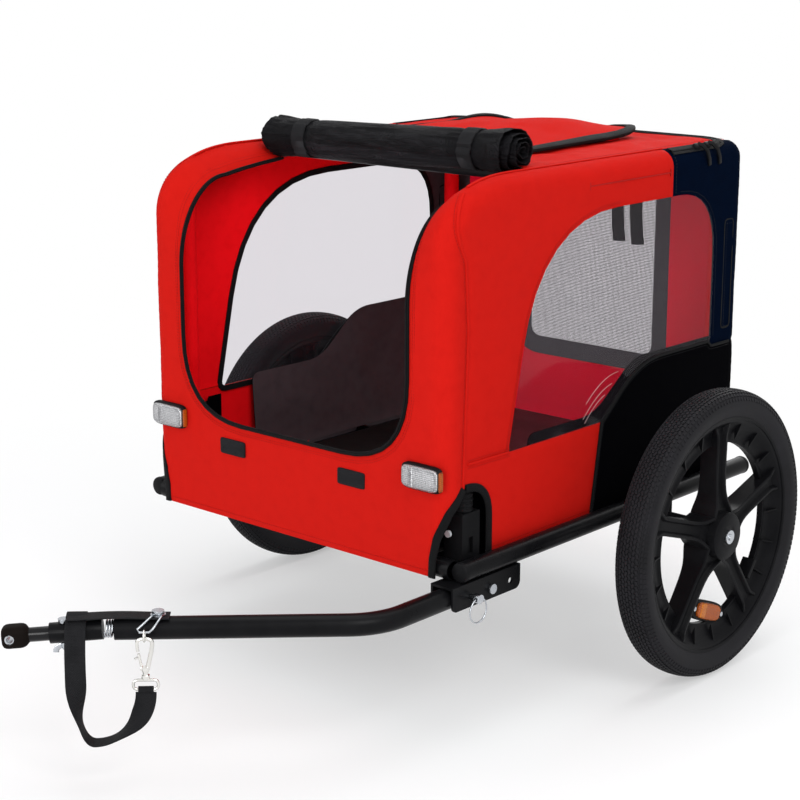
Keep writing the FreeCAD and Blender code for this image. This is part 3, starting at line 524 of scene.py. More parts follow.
def make(name, shape, finish, body, replaces, thick=0.0, smooth=40, recalc=True, cut=None):
    """A finished piece: its own mesh, its finish, the body it rides on and the nodes that it stands for."""
    verts, faces, uv = shape
    mesh = bpy.data.meshes.new(name)
    mesh.from_pydata([tuple(v) for v in verts], [], faces)
    layer = mesh.uv_layers.new(name="UVMap")
    layer.data.foreach_set("uv", np.array(uv, float).ravel())
    for mat in finish if isinstance(finish, tuple) else (finish,):
        mesh.materials.append(mat)
    obj = bpy.data.objects.new(name, mesh)
    scene.collection.objects.link(obj)
    if thick:
        mod = obj.modifiers.new("thickness", "SOLIDIFY")
        mod.thickness, mod.offset, mod.use_even_offset = thick, -1.0, False
        mod.material_offset = len(mesh.materials) - 1
    if cut:
        tool = bpy.data.objects.new("cutter", bpy.data.meshes.new("cutter"))
        tool.data.from_pydata([tuple(v) for v in cut[0]], [], cut[1])
        scene.collection.objects.link(tool)
        mod = obj.modifiers.new("hole", "BOOLEAN")
        mod.operation, mod.object, mod.solver = "DIFFERENCE", tool, "EXACT"
    bpy.context.view_layer.update()
    done = bpy.data.meshes.new_from_object(obj.evaluated_get(bpy.context.evaluated_depsgraph_get()))
    obj.modifiers.clear()
    obj.data = done
    if cut:
        bpy.data.objects.remove(tool)
    if recalc:
        work = bmesh.new()
        work.from_mesh(done)
        bmesh.ops.recalc_face_normals(work, faces=work.faces)
        work.to_mesh(done)
        work.free()
    done.shade_smooth()
    done.set_sharp_from_angle(angle=math.radians(smooth))
    if body:
        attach(obj, body)
    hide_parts(*replaces)
    return obj


print("tool for finished pieces")

# %% [markdown]
# ## The safety strap
# Before the rest of the trailer comes its one free cord, a strap of woven webbing. It is bolted to the top
# of the tow bar, folded over the coupling arm and hangs in a loop to the snap hook. Its line is a smooth
# spline through the route's own points, and the flat band is laid along points read from that spline. The
# band turns over once on the way, as webbing does when it is clipped on in a hurry.

# %% Strap route and band
BEND = (272.0, -545.0, 193.0)
BAR_DIR = Vector((-0.719340, -0.694658, 0.0))
BAR_SIDE = Vector((0.694658, -0.719340, 0.0))
UP = Vector((0, 0, 1))
STRAP_W, STRAP_T = 25.0, 1.6
HOOK_RUN, HOOK_SIDE = 279.0, 24.0


def on_bar(run, side=0.0, up=0.0):
    """A point along the slanting part of the tow bar, counted in millimetres from its bend."""
    return place(*BEND) + (BAR_DIR * run + BAR_SIDE * side + UP * up) * MM


def spline_points(name, stops, steps):
    curve = bpy.data.curves.new(name, "CURVE")
    curve.dimensions = "3D"
    line = curve.splines.new("NURBS")
    line.points.add(len(stops) - 1)
    for point, stop in zip(line.points, stops):
        point.co = (*stop, 1)
    line.order_u = 3
    line.use_endpoint_u = True
    line.resolution_u = steps
    obj = bpy.data.objects.new(name, curve)
    scene.collection.objects.link(obj)
    bpy.context.view_layer.update()
    read = bpy.data.meshes.new_from_object(obj.evaluated_get(bpy.context.evaluated_depsgraph_get()))
    points = [v.co.copy() for v in read.vertices]
    bpy.data.objects.remove(obj)
    return points


STRAP_STOPS = [on_bar(361, -12.5, 16.7), on_bar(361, 29, 16.7), on_bar(361, 29, -134),
               on_bar(318, 27, -134), on_bar(HOOK_RUN, HOOK_SIDE, -98), on_bar(HOOK_RUN, HOOK_SIDE, -71.9)]
route = spline_points("strap_route", STRAP_STOPS, 16)
route_length = sum((b - a).length for a, b in zip(route, route[1:]))
TWIST = ((0.30, 0.56), (0.72, 0.96))
rings = []
done = 0.0
for index, (spot, along) in enumerate(zip(route, tangents(route))):
    done += (spot - route[index - 1]).length if index else 0.0
    turn = 0.0
    for first, last in TWIST:
        part = min(1.0, max(0.0, (done / route_length - first) / (last - first)))
        turn += math.pi / 2 * part * part * (3 - 2 * part)
    wide = BAR_DIR * math.cos(turn) + BAR_SIDE * math.sin(turn)
    wide = (wide - along * wide.dot(along)).normalized()
    thick = along.cross(wide)
    rings.append([spot + (wide * a + thick * b) * MM for a, b in oval(STRAP_W, STRAP_T, 16, 0.35)])
strap = make("strap_loop", skin(rings), WEBBING, None, ["safety_strap"])

# %% Strap top and sewn end
top = [on_bar(run, 0, 15.1 + 1.6 * math.sin(math.pi * (run - 268) / 92) * (268 < run < 360))
       for run in np.linspace(250, 372, 26)]
band = sweep(top, oval(STRAP_W * MM, STRAP_T * MM, 16, 0.35), UP)
strap_top = make("strap_top", band, WEBBING, None, ["safety_strap"])
ends = [on_bar(HOOK_RUN + a, HOOK_SIDE, -68.5) for a in (-9, -5, 0, 5, 9)]
strap_end = make("strap_end", sweep(ends, oval(0.0078, 0.0082, 16), UP), WEBBING, "tow_bar",
                 ["safety_strap"])
for soft in (strap, strap_top):
    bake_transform(soft)
print("strap loop of", round(route_length * 1000), "mm")

# %% [markdown]
# ## The cover's form
# The cloth is pulled tight over two bent tubes. Seen from the side its outline is a straight front, a
# rounded brow, a flat roof and a straight back. `outline_at` walks along that outline, and the long edges
# on both sides are rounded by the tubes under them. Two maps lay a flat pattern on this form: `over_form`
# for the panels that run front, roof and back, and `on_side` for the side walls, whose upper edges bend
# over onto the roof.

# %% Outline
HALF, FRONT, REAR, TOP = 268.0, -421.0, 240.0, 707.0
FRONT_HEM, SIDE_HEM = 213.0, 229.5
BROW_Y, BROW_Z, TAIL = 150.0, 95.0, 26.0
EDGE = 24.0
FLAT = HALF - EDGE
WRAP = EDGE * math.pi / 2
SAG_FROM, SAG_WIDE = 252.0, 47.0
CABIN_MIDDLE = np.array([0.0, -90.0, 450.0])


def build_outline():
    points = [(FRONT, z) for z in np.arange(FRONT_HEM, TOP - BROW_Z, 2.0)]
    points += [(FRONT + BROW_Y * (1 - math.cos(t) ** 0.82), TOP - BROW_Z * (1 - math.sin(t) ** 0.82))
               for t in np.linspace(0, math.pi / 2, 90, endpoint=False)]
    points += [(y, TOP) for y in np.arange(FRONT + BROW_Y, REAR - TAIL, 2.0)]
    points += [(REAR - TAIL + TAIL * math.sin(t), TOP - TAIL + TAIL * math.cos(t))
               for t in np.linspace(0, math.pi / 2, 20, endpoint=False)]
    points += [(REAR, z) for z in np.arange(TOP - TAIL, SIDE_HEM, -2.0)] + [(REAR, SIDE_HEM)]
    line = np.array(points)
    way = np.gradient(line, axis=0)
    way /= np.linalg.norm(way, axis=1)[:, None]
    run = np.concatenate([[0], np.cumsum(np.linalg.norm(np.diff(line, axis=0), axis=1))])
    return run, line, np.stack([-way[:, 1], way[:, 0]], axis=1)


RUN, LINE, OUT = build_outline()
ROLL_Y = -224.0


def outline_at(s):
    s = np.asarray(s, float)
    spot = np.stack([np.interp(s, RUN, LINE[:, k]) for k in (0, 1)], -1)
    out = np.stack([np.interp(s, RUN, OUT[:, k]) for k in (0, 1)], -1)
    return spot, out / np.linalg.norm(out, axis=-1, keepdims=True)


def run_at(y=None, z=None, rear=False):
    """How far along the outline a height on the front or back, or a place on the roof, lies."""
    if y is not None:
        roof = np.where(np.abs(LINE[:, 1] - TOP) < 1.0)[0]
        return float(np.interp(y, LINE[roof, 0], RUN[roof]))
    side = np.where(LINE[:, 0] > 0)[0] if rear else np.where(LINE[:, 0] < -300)[0]
    order = side[np.argsort(LINE[side, 1])]
    return float(np.interp(z, LINE[order, 1], RUN[order]))


# %% The two maps
ROLL_RUN = run_at(y=ROLL_Y)
DOOR_TOP, DOOR_BEND, DOOR_RISE = 670.0, 84.0, 118.0


def door_outline(s):
    """Beside the doorway the cloth turns down inside the tubes: its edge bends earlier and runs lower."""
    turn = np.linspace(0, math.pi / 2, 40)
    line = [(FRONT, FRONT_HEM)]
    line += [(FRONT + DOOR_BEND * (1 - math.cos(t)), DOOR_TOP - DOOR_RISE * (1 - math.sin(t)))
             for t in turn]
    line = np.array(line + [(-305.0, DOOR_TOP + 5), (-270.0, DOOR_TOP + 9), (ROLL_Y, DOOR_TOP + 13)])
    run = np.concatenate([[0], np.cumsum(np.linalg.norm(np.diff(line, axis=0), axis=1))])
    straight = run[1]
    share = np.where(s < straight, s,
                     straight + (s - straight) * (run[-1] - straight) / (ROLL_RUN - straight))
    return np.stack([np.interp(share, run, line[:, k]) for k in (0, 1)], -1)


def over_form(flat):
    """Pattern (across, along the outline) to points, for front, roof and back."""
    spot, out = outline_at(flat[:, 1])
    past = np.maximum(np.abs(flat[:, 0]) - FLAT, 0)
    angle = np.minimum(past / EDGE, math.pi / 2)
    x = np.sign(flat[:, 0]) * (np.minimum(np.abs(flat[:, 0]), FLAT) + EDGE * np.sin(angle))
    sunk = EDGE * (1 - np.cos(angle)) + np.maximum(past - WRAP, 0)
    spot = spot - out * sunk[:, None]
    inward = np.clip((SAG_FROM - np.abs(flat[:, 0])) / SAG_WIDE, 0, 1) * (flat[:, 1] < ROLL_RUN - 0.5)
    turned = (1 - np.cos(inward * math.pi / 2))[:, None]
    return np.column_stack([x, spot * (1 - turned) + door_outline(flat[:, 1]) * turned])


def on_side(flat, side):
    """Pattern (y, z) to points of a side wall; what lies past the edge bends over it."""
    inner = LINE - OUT * EDGE
    keep = (LINE[:, 1] > SIDE_HEM + 1)
    inner, out = inner[keep], OUT[keep]
    points = np.empty((len(flat), 3))
    for first in range(0, len(flat), 2000):
        part = flat[first:first + 2000]
        near = np.argmin(((part[:, None, :] - inner[None]) ** 2).sum(-1), axis=1)
        past = ((part - inner[near]) * out[near]).sum(1)
        angle = np.clip(past / EDGE, 0, math.pi / 2)
        slide = part - out[near] * np.maximum(past, 0)[:, None]
        bent = slide + out[near] * (EDGE * np.sin(angle) + np.maximum(past - WRAP, 0))[:, None]
        points[first:first + 2000] = np.column_stack([HALF - EDGE * (1 - np.cos(angle)), bent])
    points[:, 0] *= side
    return points


def side_map(side):
    return lambda flat: on_side(flat, side)


print("outline of", round(RUN[-1]), "mm from front hem to back hem")

# %% [markdown]
# ## Patterns
# A pattern is a closed line with softened corners and, inside it, a net of points about as far apart as the
# cloth's smallest fold. The net is joined with a constrained triangulation, so every seam is exact. Near
# its edge a sewn panel is pulled down by the stitches, and further in it stands a little proud and ripples:
# that is what `panel` adds, with a fixed noise, so the cloth is the same every time.

# %% Pattern tools


def soften(points, cuts, steps=8):
    """Round the corners of a closed line; a cut of 0 keeps the corner."""
    out = []
    count = len(points)
    for k in range(count):
        before, here, after = (np.array(points[(k + d) % count], float) for d in (-1, 0, 1))
        if not cuts[k]:
            out.append(tuple(here))
            continue
        a = here + (before - here) / np.linalg.norm(before - here) * cuts[k]
        b = here + (after - here) / np.linalg.norm(after - here) * cuts[k]
        for t in np.linspace(0, 1, steps + 1):
            out.append(tuple(a * (1 - t) ** 2 + here * 2 * t * (1 - t) + b * t * t))
    return out


def even(points, step, closed=False):
    line = np.array(list(points) + list(points[:1] if closed else []), float)
    run = np.concatenate([[0], np.cumsum(np.linalg.norm(np.diff(line, axis=0), axis=1))])
    count = max(2, int(round(run[-1] / step)) + 1)
    where = np.linspace(0, run[-1], count)
    out = np.stack([np.interp(where, run, line[:, k]) for k in range(line.shape[1])], 1)
    return out[:-1] if closed else out


def divide(points, step):
    """Cut a closed line into short pieces and keep its corners."""
    out = []
    for a, b in zip(points, list(points[1:]) + [points[0]]):
        a, b = np.array(a, float), np.array(b, float)
        count = max(1, int(round(np.linalg.norm(b - a) / step)))
        if np.linalg.norm(b - a) > 1e-6:
            out += [a + (b - a) * k / count for k in range(count)]
    return np.array(out)


print("tools for pattern lines")

# %% Cutting a pattern


def within(points, loop):
    x, y = points[:, 0], points[:, 1]
    hit = np.zeros(len(points), bool)
    for (x0, y0), (x1, y1) in zip(loop, np.roll(loop, -1, axis=0)):
        if y0 != y1:
            hit ^= ((y0 > y) != (y1 > y)) & (x < (x1 - x0) * (y - y0) / (y1 - y0) + x0)
    return hit


def edge_distance(points, loops):
    line = np.concatenate(loops)
    out = np.empty(len(points))
    for first in range(0, len(points), 4000):
        part = points[first:first + 4000]
        out[first:first + 4000] = np.sqrt(((part[:, None] - line[None]) ** 2).sum(-1).min(1))
    return out


def flat_pattern(outline, step, holes=()):
    """Points, triangles and each point's distance from the edge, in millimetres."""
    loops = [divide(list(loop), step) for loop in (outline, *holes)]
    low, high = loops[0].min(0), loops[0].max(0)
    rows = np.arange(low[1], high[1], step * 0.866)
    net = np.array([(x + (k % 2) * step / 2, y) for k, y in enumerate(rows)
                    for x in np.arange(low[0], high[0], step)])
    net = net[within(net, loops[0])]
    for hole in loops[1:]:
        net = net[~within(net, hole)]
    net = net[edge_distance(net, loops) > 0.6 * step]
    points = np.concatenate(loops + [net])
    edges, base = [], 0
    for loop in loops:
        edges += [(base + k, base + (k + 1) % len(loop)) for k in range(len(loop))]
        base += len(loop)
    found = geometry.delaunay_2d_cdt([Vector(p) for p in points], edges, [], 0, 1e-6)
    flat = np.array([tuple(v) for v in found[0]])
    faces = np.array(found[2])
    middle = flat[faces].mean(1)
    keep = within(middle, loops[0])
    for hole in loops[1:]:
        keep &= ~within(middle, hole)
    return flat, faces[keep], edge_distance(flat, loops)


print("tools for cutting patterns")

# %% From pattern to panel
PULL_IN, SEAM_WIDE = 35.0, 4.0
FINE_SHARE, FINE_STRETCH = 0.35, (38, 30)


def pattern_area(flat, faces):
    a, b, c = (flat[faces[:, k]] for k in range(3))
    return float(np.abs((b - a)[:, 0] * (c - a)[:, 1] - (b - a)[:, 1] * (c - a)[:, 0]).sum() / 2) * MM * MM


def ripple(flat, stretch, seed):
    """Smooth noise over the pattern, drawn out along one or the other direction."""
    return np.array([noise.noise((p[0] / stretch[0], p[1] / stretch[1], seed)) for p in flat])


def panel(name, pattern, lay, finish, swell, fold, stretch, seed, replaces, dip=1.2,
          body="frame", thick=1.1):
    """Lay a pattern on the form, ripple it and sew it down at its edges."""
    flat, faces, edge = pattern
    points = lay(flat)
    a, b, c = (points[faces[:, k]] for k in range(3))
    normal = np.cross(b - a, c - a)
    if ((points[faces].mean(1) - CABIN_MIDDLE) * normal).sum() < 0:
        faces = faces[:, ::-1]
        normal = -normal
    at_point = np.zeros_like(points)
    for k in range(3):
        np.add.at(at_point, faces[:, k], normal)
    at_point /= np.linalg.norm(at_point, axis=1)[:, None] + 1e-9
    inside = 1 - np.exp(-edge / PULL_IN)
    lift = inside * (swell + fold * ripple(flat, stretch, seed))
    lift += FINE_SHARE * fold * inside * ripple(flat, FINE_STRETCH, seed + 5)
    lift -= dip * np.exp(-(edge / SEAM_WIDE) ** 2)
    points = points + at_point * lift[:, None]
    uv = (flat * MM)[faces].reshape(-1, 2)
    shape = (place_all(points), [tuple(int(i) for i in f) for f in faces], uv)
    obj = make(name, shape, finish, body, replaces, thick * MM, recalc=False)
    size = (flat.max(0) - flat.min(0)) * MM
    area = pattern_area(flat, faces)
    if area < 0.3 * size[0] * size[1]:
        ends = np.sort(np.concatenate([faces[:, [0, 1]], faces[:, [1, 2]], faces[:, [2, 0]]]), axis=1)
        pairs, uses = np.unique(ends, axis=0, return_counts=True)
        rim = pairs[uses == 1]
        strip = 2 * area / (np.linalg.norm(flat[rim[:, 0]] - flat[rim[:, 1]], axis=1).sum() * MM)
        size = np.array([strip, area / strip])
    print(name, len(faces), "faces,", [round(float(v), 3) for v in size], "m flat,", round(area, 4), "m2")
    return obj


# %% [markdown]
# ## Front, roof and back
# The front panel is a wide U: the doorway is left open because its mesh door is rolled up. It wraps round
# the front corners to a seam on the side walls. The roof has a hatch under a flap and is also sewn down
# along its zip. The back has a mesh door.

# %% Front panel
SEAM_RUN = [112.0, 312.0, 399.0, 450.0, 514.0, 660.0]
SEAM_PAST = [-10.0, -18.0, -12.0, 12.0, WRAP, WRAP]
ROOF_END = run_at(z=TOP - TAIL, rear=True)
BACK_END = float(RUN[-1])
DOOR_HALF, DOOR_SILL, DOOR_CORNER = 205.0, 348.0 - FRONT_HEM, 112.0


def seam_past(s):
    return np.interp(s, SEAM_RUN, SEAM_PAST)


FRONT_END = ROLL_RUN - 1
seam_runs = np.linspace(112, FRONT_END, 60)
right_edge = [(246.0, 0.0), (247, 24), (253, 52), (268, 84)]
right_edge += [(FLAT + WRAP - float(seam_past(s)), float(s)) for s in seam_runs]
left_edge = [(-u, s) for u, s in reversed(right_edge)]
door_line = soften([(DOOR_HALF, FRONT_END), (DOOR_HALF, DOOR_SILL), (-DOOR_HALF, DOOR_SILL),
                    (-DOOR_HALF, FRONT_END)], [0, DOOR_CORNER, DOOR_CORNER, 0])
front = flat_pattern(right_edge + door_line + left_edge, 7.0)
panel("front_cloth", front, over_form, (RED, RED_IN_BACKLIT), 1.5, 2.2, (150, 90), 3.1,
      ["front_panel"])

# %% Roof panel
hatch_front, hatch_rear = run_at(y=-168), run_at(y=139)
hatch = soften([(134, hatch_front), (134, hatch_rear), (-134, hatch_rear), (-134, hatch_front)], [40] * 4)
roof_line = [(-FLAT, ROLL_RUN), (FLAT, ROLL_RUN), (FLAT, ROOF_END), (-FLAT, ROOF_END)]
zip_half = [(258.0, run_at(y=62)), (258.0, run_at(y=184)), (236.0, run_at(y=210))]
zip_line = zip_half + [(-u, s) for u, s in reversed(zip_half)]
zip_path = even(soften(zip_line, [0, 16, 30, 30, 16, 0]), 4.0)
roof = flat_pattern(roof_line, 7.0, [hatch])
roof = (*roof[:2], np.minimum(roof[2], edge_distance(roof[0], [np.array(zip_path)])))
panel("roof_cloth", roof, over_form, (RED, RED_IN_BACKLIT), 1.5, 6.5, (52, 84), 7.7, ["roof_panel"])

# %% Back panel
back_line = [(-FLAT, ROOF_END), (FLAT, ROOF_END), (FLAT, BACK_END), (-FLAT, BACK_END)]
hole_top, hole_foot = run_at(z=656, rear=True), run_at(z=338, rear=True)
back_hole = soften([(144, hole_top), (144, hole_foot), (-144, hole_foot), (-144, hole_top)], [46] * 4)
back = flat_pattern(back_line, 8.0, [back_hole])
panel("back_cloth", back, over_form, (RED, CRIMSON_BACKLIT), 1.0, 2.0, (140, 90), 1.3, ["rear_panel"])

# %% [markdown]
# ## Side walls
# Each side wall is sewn from five patterns: a red one over the window, a dark blue rear corner, a red band
# under the window, a black wheel guard and the clear window itself. Neighbours share the same edge line, so
# the seams close. The other side is the mirror image.

# %% Side walls
WINDOW = soften([(-297, 354), (-235, 643), (165, 643), (165, 424), (-14, 424), (-98, 354)],
                [8, 165, 90, 8, 56, 16])
win = np.array(WINDOW)
BLUE_Y = 57.0


def past_edge(s, past):
    spot, out = outline_at(s)
    return tuple(spot - out * (EDGE - past))


def window_part(first, last):
    """The stretch of the window's line from the point nearest first to the one nearest last, in order."""
    a, b = (int(np.argmin(((win - np.array(p)) ** 2).sum(1))) for p in (first, last))
    line = np.roll(win, -a, axis=0)[: (b - a) % len(win) + 1]
    return [tuple(p) for p in line]


def edge_seam(first, last, count, past=None):
    """Points between two runs along the outline, so far past the edge; else they follow the front seam."""
    return [past_edge(s, float(seam_past(s)) if past is None else past)
            for s in np.linspace(first, last, count)]


# %% Side patterns
CUT_OUT_TOP, BAND_TOP, GUARD_TOP, WINDOW_TOP = 325, 354.0, 416.0, 643.0
GUARD_FOOT, GUARD_BEND = (-118.0, SIDE_HEM), (-98.0, BAND_TOP)
over_window = window_part((-297, 354), (-70, 643))[::-1]
behind_window = window_part((74, 643), (165, 432))[::-1]
under_window = window_part((157, 424), (-92, 360))[::-1]
seam_low, seam_high = run_at(z=CUT_OUT_TOP), run_at(z=355)
blue_from, guard_from = run_at(y=BLUE_Y), run_at(z=GUARD_TOP, rear=True)
red_line = edge_seam(seam_high, blue_from, 90) + [(BLUE_Y, WINDOW_TOP)] + over_window
blue_line = (edge_seam(blue_from, guard_from, 60, WRAP) + [(165.0, GUARD_TOP)] + behind_window
             + [(BLUE_Y, WINDOW_TOP)])
guard_line = ([GUARD_FOOT, GUARD_BEND] + under_window + [(165.0, GUARD_TOP)]
              + edge_seam(guard_from, BACK_END, 20, WRAP))
cut_out = soften([(-336, SIDE_HEM), (-336, CUT_OUT_TOP), (-383, CUT_OUT_TOP)], [0, 46, 0])
lower_line = ([GUARD_FOOT] + cut_out + edge_seam(seam_low, seam_high, 5)
              + [(-297.0, BAND_TOP), GUARD_BEND])
PARTS = [("red", red_line, (RED, RED_IN_BACKLIT), 1.5, 2.4, (90, 130), "red_cloth"),
         ("blue", blue_line, (NAVY, TAUPE), 1.0, 2.2, (90, 140), "black_cloth"),
         ("lower", lower_line, (RED, RED_IN_BACKLIT), 1.0, 1.6, (90, 60), "red_cloth"),
         ("guard", guard_line, (BLACK, TAUPE), 1.5, 1.8, (120, 60), "black_cloth")]
patterns = {part[0]: flat_pattern(part[1], 7.0) for part in PARTS}
for side, hand in SIDES:
    for name, _, finish, swell, fold, stretch, slot in PARTS:
        replaced = "wheel_guards" if name == "guard" else f"{hand}_side_panel"
        panel(f"{hand}_{name}_cloth", patterns[name], side_map(side), finish, swell, fold, stretch,
              11.0 + side, [replaced])

# %% [markdown]
# ## Bands laid on the cloth
# Piping, binding and zip tape all follow a line drawn on a pattern. `laid` carries such a line onto the
# form, lifts it a little off the cloth and gives its outward direction, so a flat band can be swept along
# it.

# %% Lines on the form


def laid(lay, line, lift=0.0):
    """Points in metres and outward directions along a pattern line."""
    flat = np.array(line, float)
    spot = lay(flat)
    du = lay(flat + np.array([1.0, 0.0])) - lay(flat - np.array([1.0, 0.0]))
    dv = lay(flat + np.array([0.0, 1.0])) - lay(flat - np.array([0.0, 1.0]))
    out = np.cross(du, dv)
    out /= np.linalg.norm(out, axis=1)[:, None] + 1e-9
    turned = np.sign(((spot - CABIN_MIDDLE) * out).sum(1))
    turned[turned == 0] = 1
    out *= turned[:, None]
    return [Vector(p) for p in place_all(spot + out * lift)], [Vector(o) for o in out]


def band_on(lay, line, width, height, lift=0.0, closed=False, power=0.6, count=10):
    path, out = laid(lay, line, lift)
    return sweep(path, oval(width * MM, height * MM, count, power), out, closed)


def shifted(line, by):
    """The same line moved sideways in its own plane."""
    flat = np.array(line, float)
    way = np.gradient(flat, axis=0)
    way /= np.linalg.norm(way, axis=1)[:, None] + 1e-9
    return flat + np.stack([-way[:, 1], way[:, 0]], 1) * by


# %% Piping and bindings
door_path = even(door_line, 6.0)
piping = join(band_on(over_form, door_path, 6.2, 3.6, 0.6), band_on(over_form, door_path, 2.2, 2.2, 2.4))
make("door_zip", piping, TAPE, "frame", ["front_door_piping"])

rim_side = even(cut_out, 5.0)
edge_line = even([GUARD_FOOT, GUARD_BEND] + under_window + [(165.0, GUARD_TOP), (212.0, GUARD_TOP)], 6.0)
for side, hand in SIDES:
    rim_front = even([(u * side, s) for u, s in right_edge[:5]], 5.0)
    shape = join(band_on(over_form, rim_front, 11.0, 4.0), band_on(side_map(side), rim_side, 11.0, 4.0))
    make(f"{hand}_cut_out_binding", shape, TAPE, "frame", ["cutout_bindings"])
    make(f"{hand}_guard_piping", band_on(side_map(side), edge_line, 4.0, 3.4, 0.6), TAPE, "frame",
         ["wheel_guards"])
print("piping and bindings")

# %% [markdown]
# ## Windows
# Each side has a window of clear soft vinyl. Vinyl is never quite flat: it keeps soft waves from being
# folded. Where the left one is pulled over the wheel guard, thin raised lines along its creases are painted
# pale as highlights. Light passes it without a dark shadow, so its finish mixes a clear shader with a
# little gloss and haze. On the inside a black binding covers the seam all round.

# %% Clear vinyl
HAZE_SHARE = 0.008
VINYL, vt, _ = new_finish("clear_vinyl")
thin = vt.nodes.new("ShaderNodeBsdfTransparent")
tint = vt.nodes.new("ShaderNodeMix")
tint.data_type = "RGBA"
tint.inputs["A"].default_value = (0.865, 0.850, 0.870, 1)
tint.inputs["B"].default_value = (1, 1, 1, 1)
vt.links.new(vt.nodes.new("ShaderNodeLightPath").outputs["Is Shadow Ray"], tint.inputs["Factor"])
vt.links.new(tint.outputs["Result"], thin.inputs["Color"])
gloss = add_node(vt, "ShaderNodeBsdfGlossy", Roughness=0.06)
facing = add_node(vt, "ShaderNodeLayerWeight", Blend=0.5)
slant = math_node(vt, "POWER", facing.outputs["Facing"], 5.0)
mirror = math_node(vt, "ADD", math_node(vt, "MULTIPLY", slant, 0.4), 0.007)
film = mix_shaders(vt, mirror, thin.outputs[0], gloss.outputs[0])
haze = add_node(vt, "ShaderNodeBsdfDiffuse", Color=(0.66, 0.55, 0.64, 1))
clouded = mix_shaders(vt, HAZE_SHARE, film, haze.outputs[0])
vt.links.new(clouded, vt.nodes["Material Output"].inputs["Surface"])
print("clear finish:", VINYL.name)

# %% Windows and painted crease highlights
# Painted highlight: the crease lines are coloured pale pink for light caught on the vinyl's folds.
CREASE_HIGHLIGHT = hard_finish("vinyl_crease_painted_highlight", (0.40, 0.20, 0.22), (0.62, 0.40, 0.41), 0.25, 0.05, 500.0, 0.00005)
HIGHLIGHT_CREASES = [(-62, 418, -134, 386, 8), (-76, 404, -140, 366, 7), (-92, 391, -136, 360, 4)]


def crease_line(y0, z0, y1, z1, rise):
    return [(y0 + (y1 - y0) * t, z0 + (z1 - z0) * t + rise * 4 * t * (1 - t))
            for t in np.linspace(0, 1, 24)]


win_pattern = flat_pattern(WINDOW, 7.0)
for side, hand in SIDES:
    panel(f"{hand}_window", win_pattern, side_map(side), VINYL, -1.0, 1.0, (70, 190), 21.0 + side,
          ["side_windows"], 0.0, thick=0.5)
    loop = even(shifted(WINDOW, 4.5), 6.0, True)
    make(f"{hand}_window_binding", band_on(side_map(side), loop, 9.0, 2.4, -2.6, True), TAPE, "frame",
         ["side_windows"])
crease_highlights = [band_on(side_map(1), crease_line(*crease), 0.6, 0.5, 0.1, count=6) for crease in HIGHLIGHT_CREASES]
make("left_window_crease_highlights", join(*crease_highlights), CREASE_HIGHLIGHT, "frame", ["side_windows"])

# %% [markdown]
# ## The rolled door
# The mesh door is rolled up on the roof edge and held by two straps. It is one long sheet wound in a
# spiral, so its ends show the layers. The winding is loose: the radius wanders along the roll and round it,
# and the straps pinch it.

# %% Shape of the roll
ROLL_Z, ROLL_R, ROLL_HALF = 720.0, 32.0, 227.0
ROLL_STRAPS = (-150.0, 150.0)
TURNS, AROUND, ROLL_FLAT = 5.0, 44, 0.93


def roll_radius(x, turn):
    share = turn / (2 * math.pi * TURNS)
    base = 4.5 + (ROLL_R - 5.5) * share
    wave = 1.5 * noise.noise((x / 150, math.cos(turn) * 1.6 + share * 3, math.sin(turn) * 1.6))
    wave += 2.3 * noise.noise((x / 95 + 9, math.cos(turn) * 9, math.sin(turn) * 9))
    outer = min(1.0, max(0.0, (abs(x) - 165) / 30))
    wave += 2.6 * noise.noise((x / 26, math.cos(turn) * 2.2, math.sin(turn) * 2.2)) * outer
    pinch = sum(4.6 * math.exp(-((x - s) / 17) ** 2) for s in ROLL_STRAPS)
    flare = 3.5 * math.exp(-((x + ROLL_HALF) / 26) ** 2) + 4.5 * math.exp(-((x - ROLL_HALF) / 40) ** 2)
    return base + (wave - pinch + flare) * share


def roll_tilt(x):
    return 6.0 * x / ROLL_HALF


roll_rows = np.linspace(-1, 1, 73)
roll_points, roll_uv = [], []
steps = int(TURNS * AROUND)
for row in roll_rows:
    for k in range(steps + 1):
        turn = 2 * math.pi * TURNS * k / steps
        taper = 20.0 * max(0.0, k / steps - 0.55) / 0.45
        x = row * (ROLL_HALF + 5.0 * noise.noise((turn * 0.7, row * 2, 4.0)) - taper)
        r = roll_radius(x, turn)
        flat = ROLL_FLAT if abs(x) < ROLL_HALF else 1.0
        rise = roll_tilt(x) + r * flat * math.sin(turn - 0.5)
        roll_points.append(place(x, ROLL_Y + r * math.cos(turn - 0.5), ROLL_Z + rise))
        roll_uv.append((x * MM, turn * r * MM))
wide = steps + 1
roll_faces = [(i * wide + k, i * wide + k + 1, (i + 1) * wide + k + 1, (i + 1) * wide + k)
              for i in range(len(roll_rows) - 1) for k in range(steps)]
roll_shape = (roll_points, roll_faces, [roll_uv[i] for f in roll_faces for i in f])

# %% Rolled mesh
NET = cloth_finish("black_mesh_cloth", (0.0020, 0.0020, 0.0026), (0.0110, 0.0108, 0.0130), 0.5, 700,
                   0.0007, 0.9, 0.10)
ROLLED = cloth_finish("rolled_mesh_cloth", (0.0016, 0.0016, 0.0021), (0.0100, 0.0098, 0.0118), 0.46, 700,
                      0.0007, 0.9, 0.08)
rt = ROLLED.node_tree
stretch = add_node(rt, "ShaderNodeMapping", Scale=(11.0, 190.0, 1.0))
rt.links.new(rt.nodes["Texture Coordinate"].outputs["UV"], stretch.inputs["Vector"])
streaks = add_node(rt, "ShaderNodeBump", Distance=0.006, Strength=0.9)
rt.links.new(noise_node(rt, stretch.outputs["Vector"], 1.0, 3.0), streaks.inputs["Height"])
rt.links.new(rt.nodes["Bump"].outputs["Normal"], streaks.inputs["Normal"])
rt.links.new(streaks.outputs["Normal"], rt.nodes["Principled BSDF"].inputs["Normal"])
roll = make("rolled_mesh", roll_shape, ROLLED, "frame", ["rolled_door"], 0.0009, smooth=60)

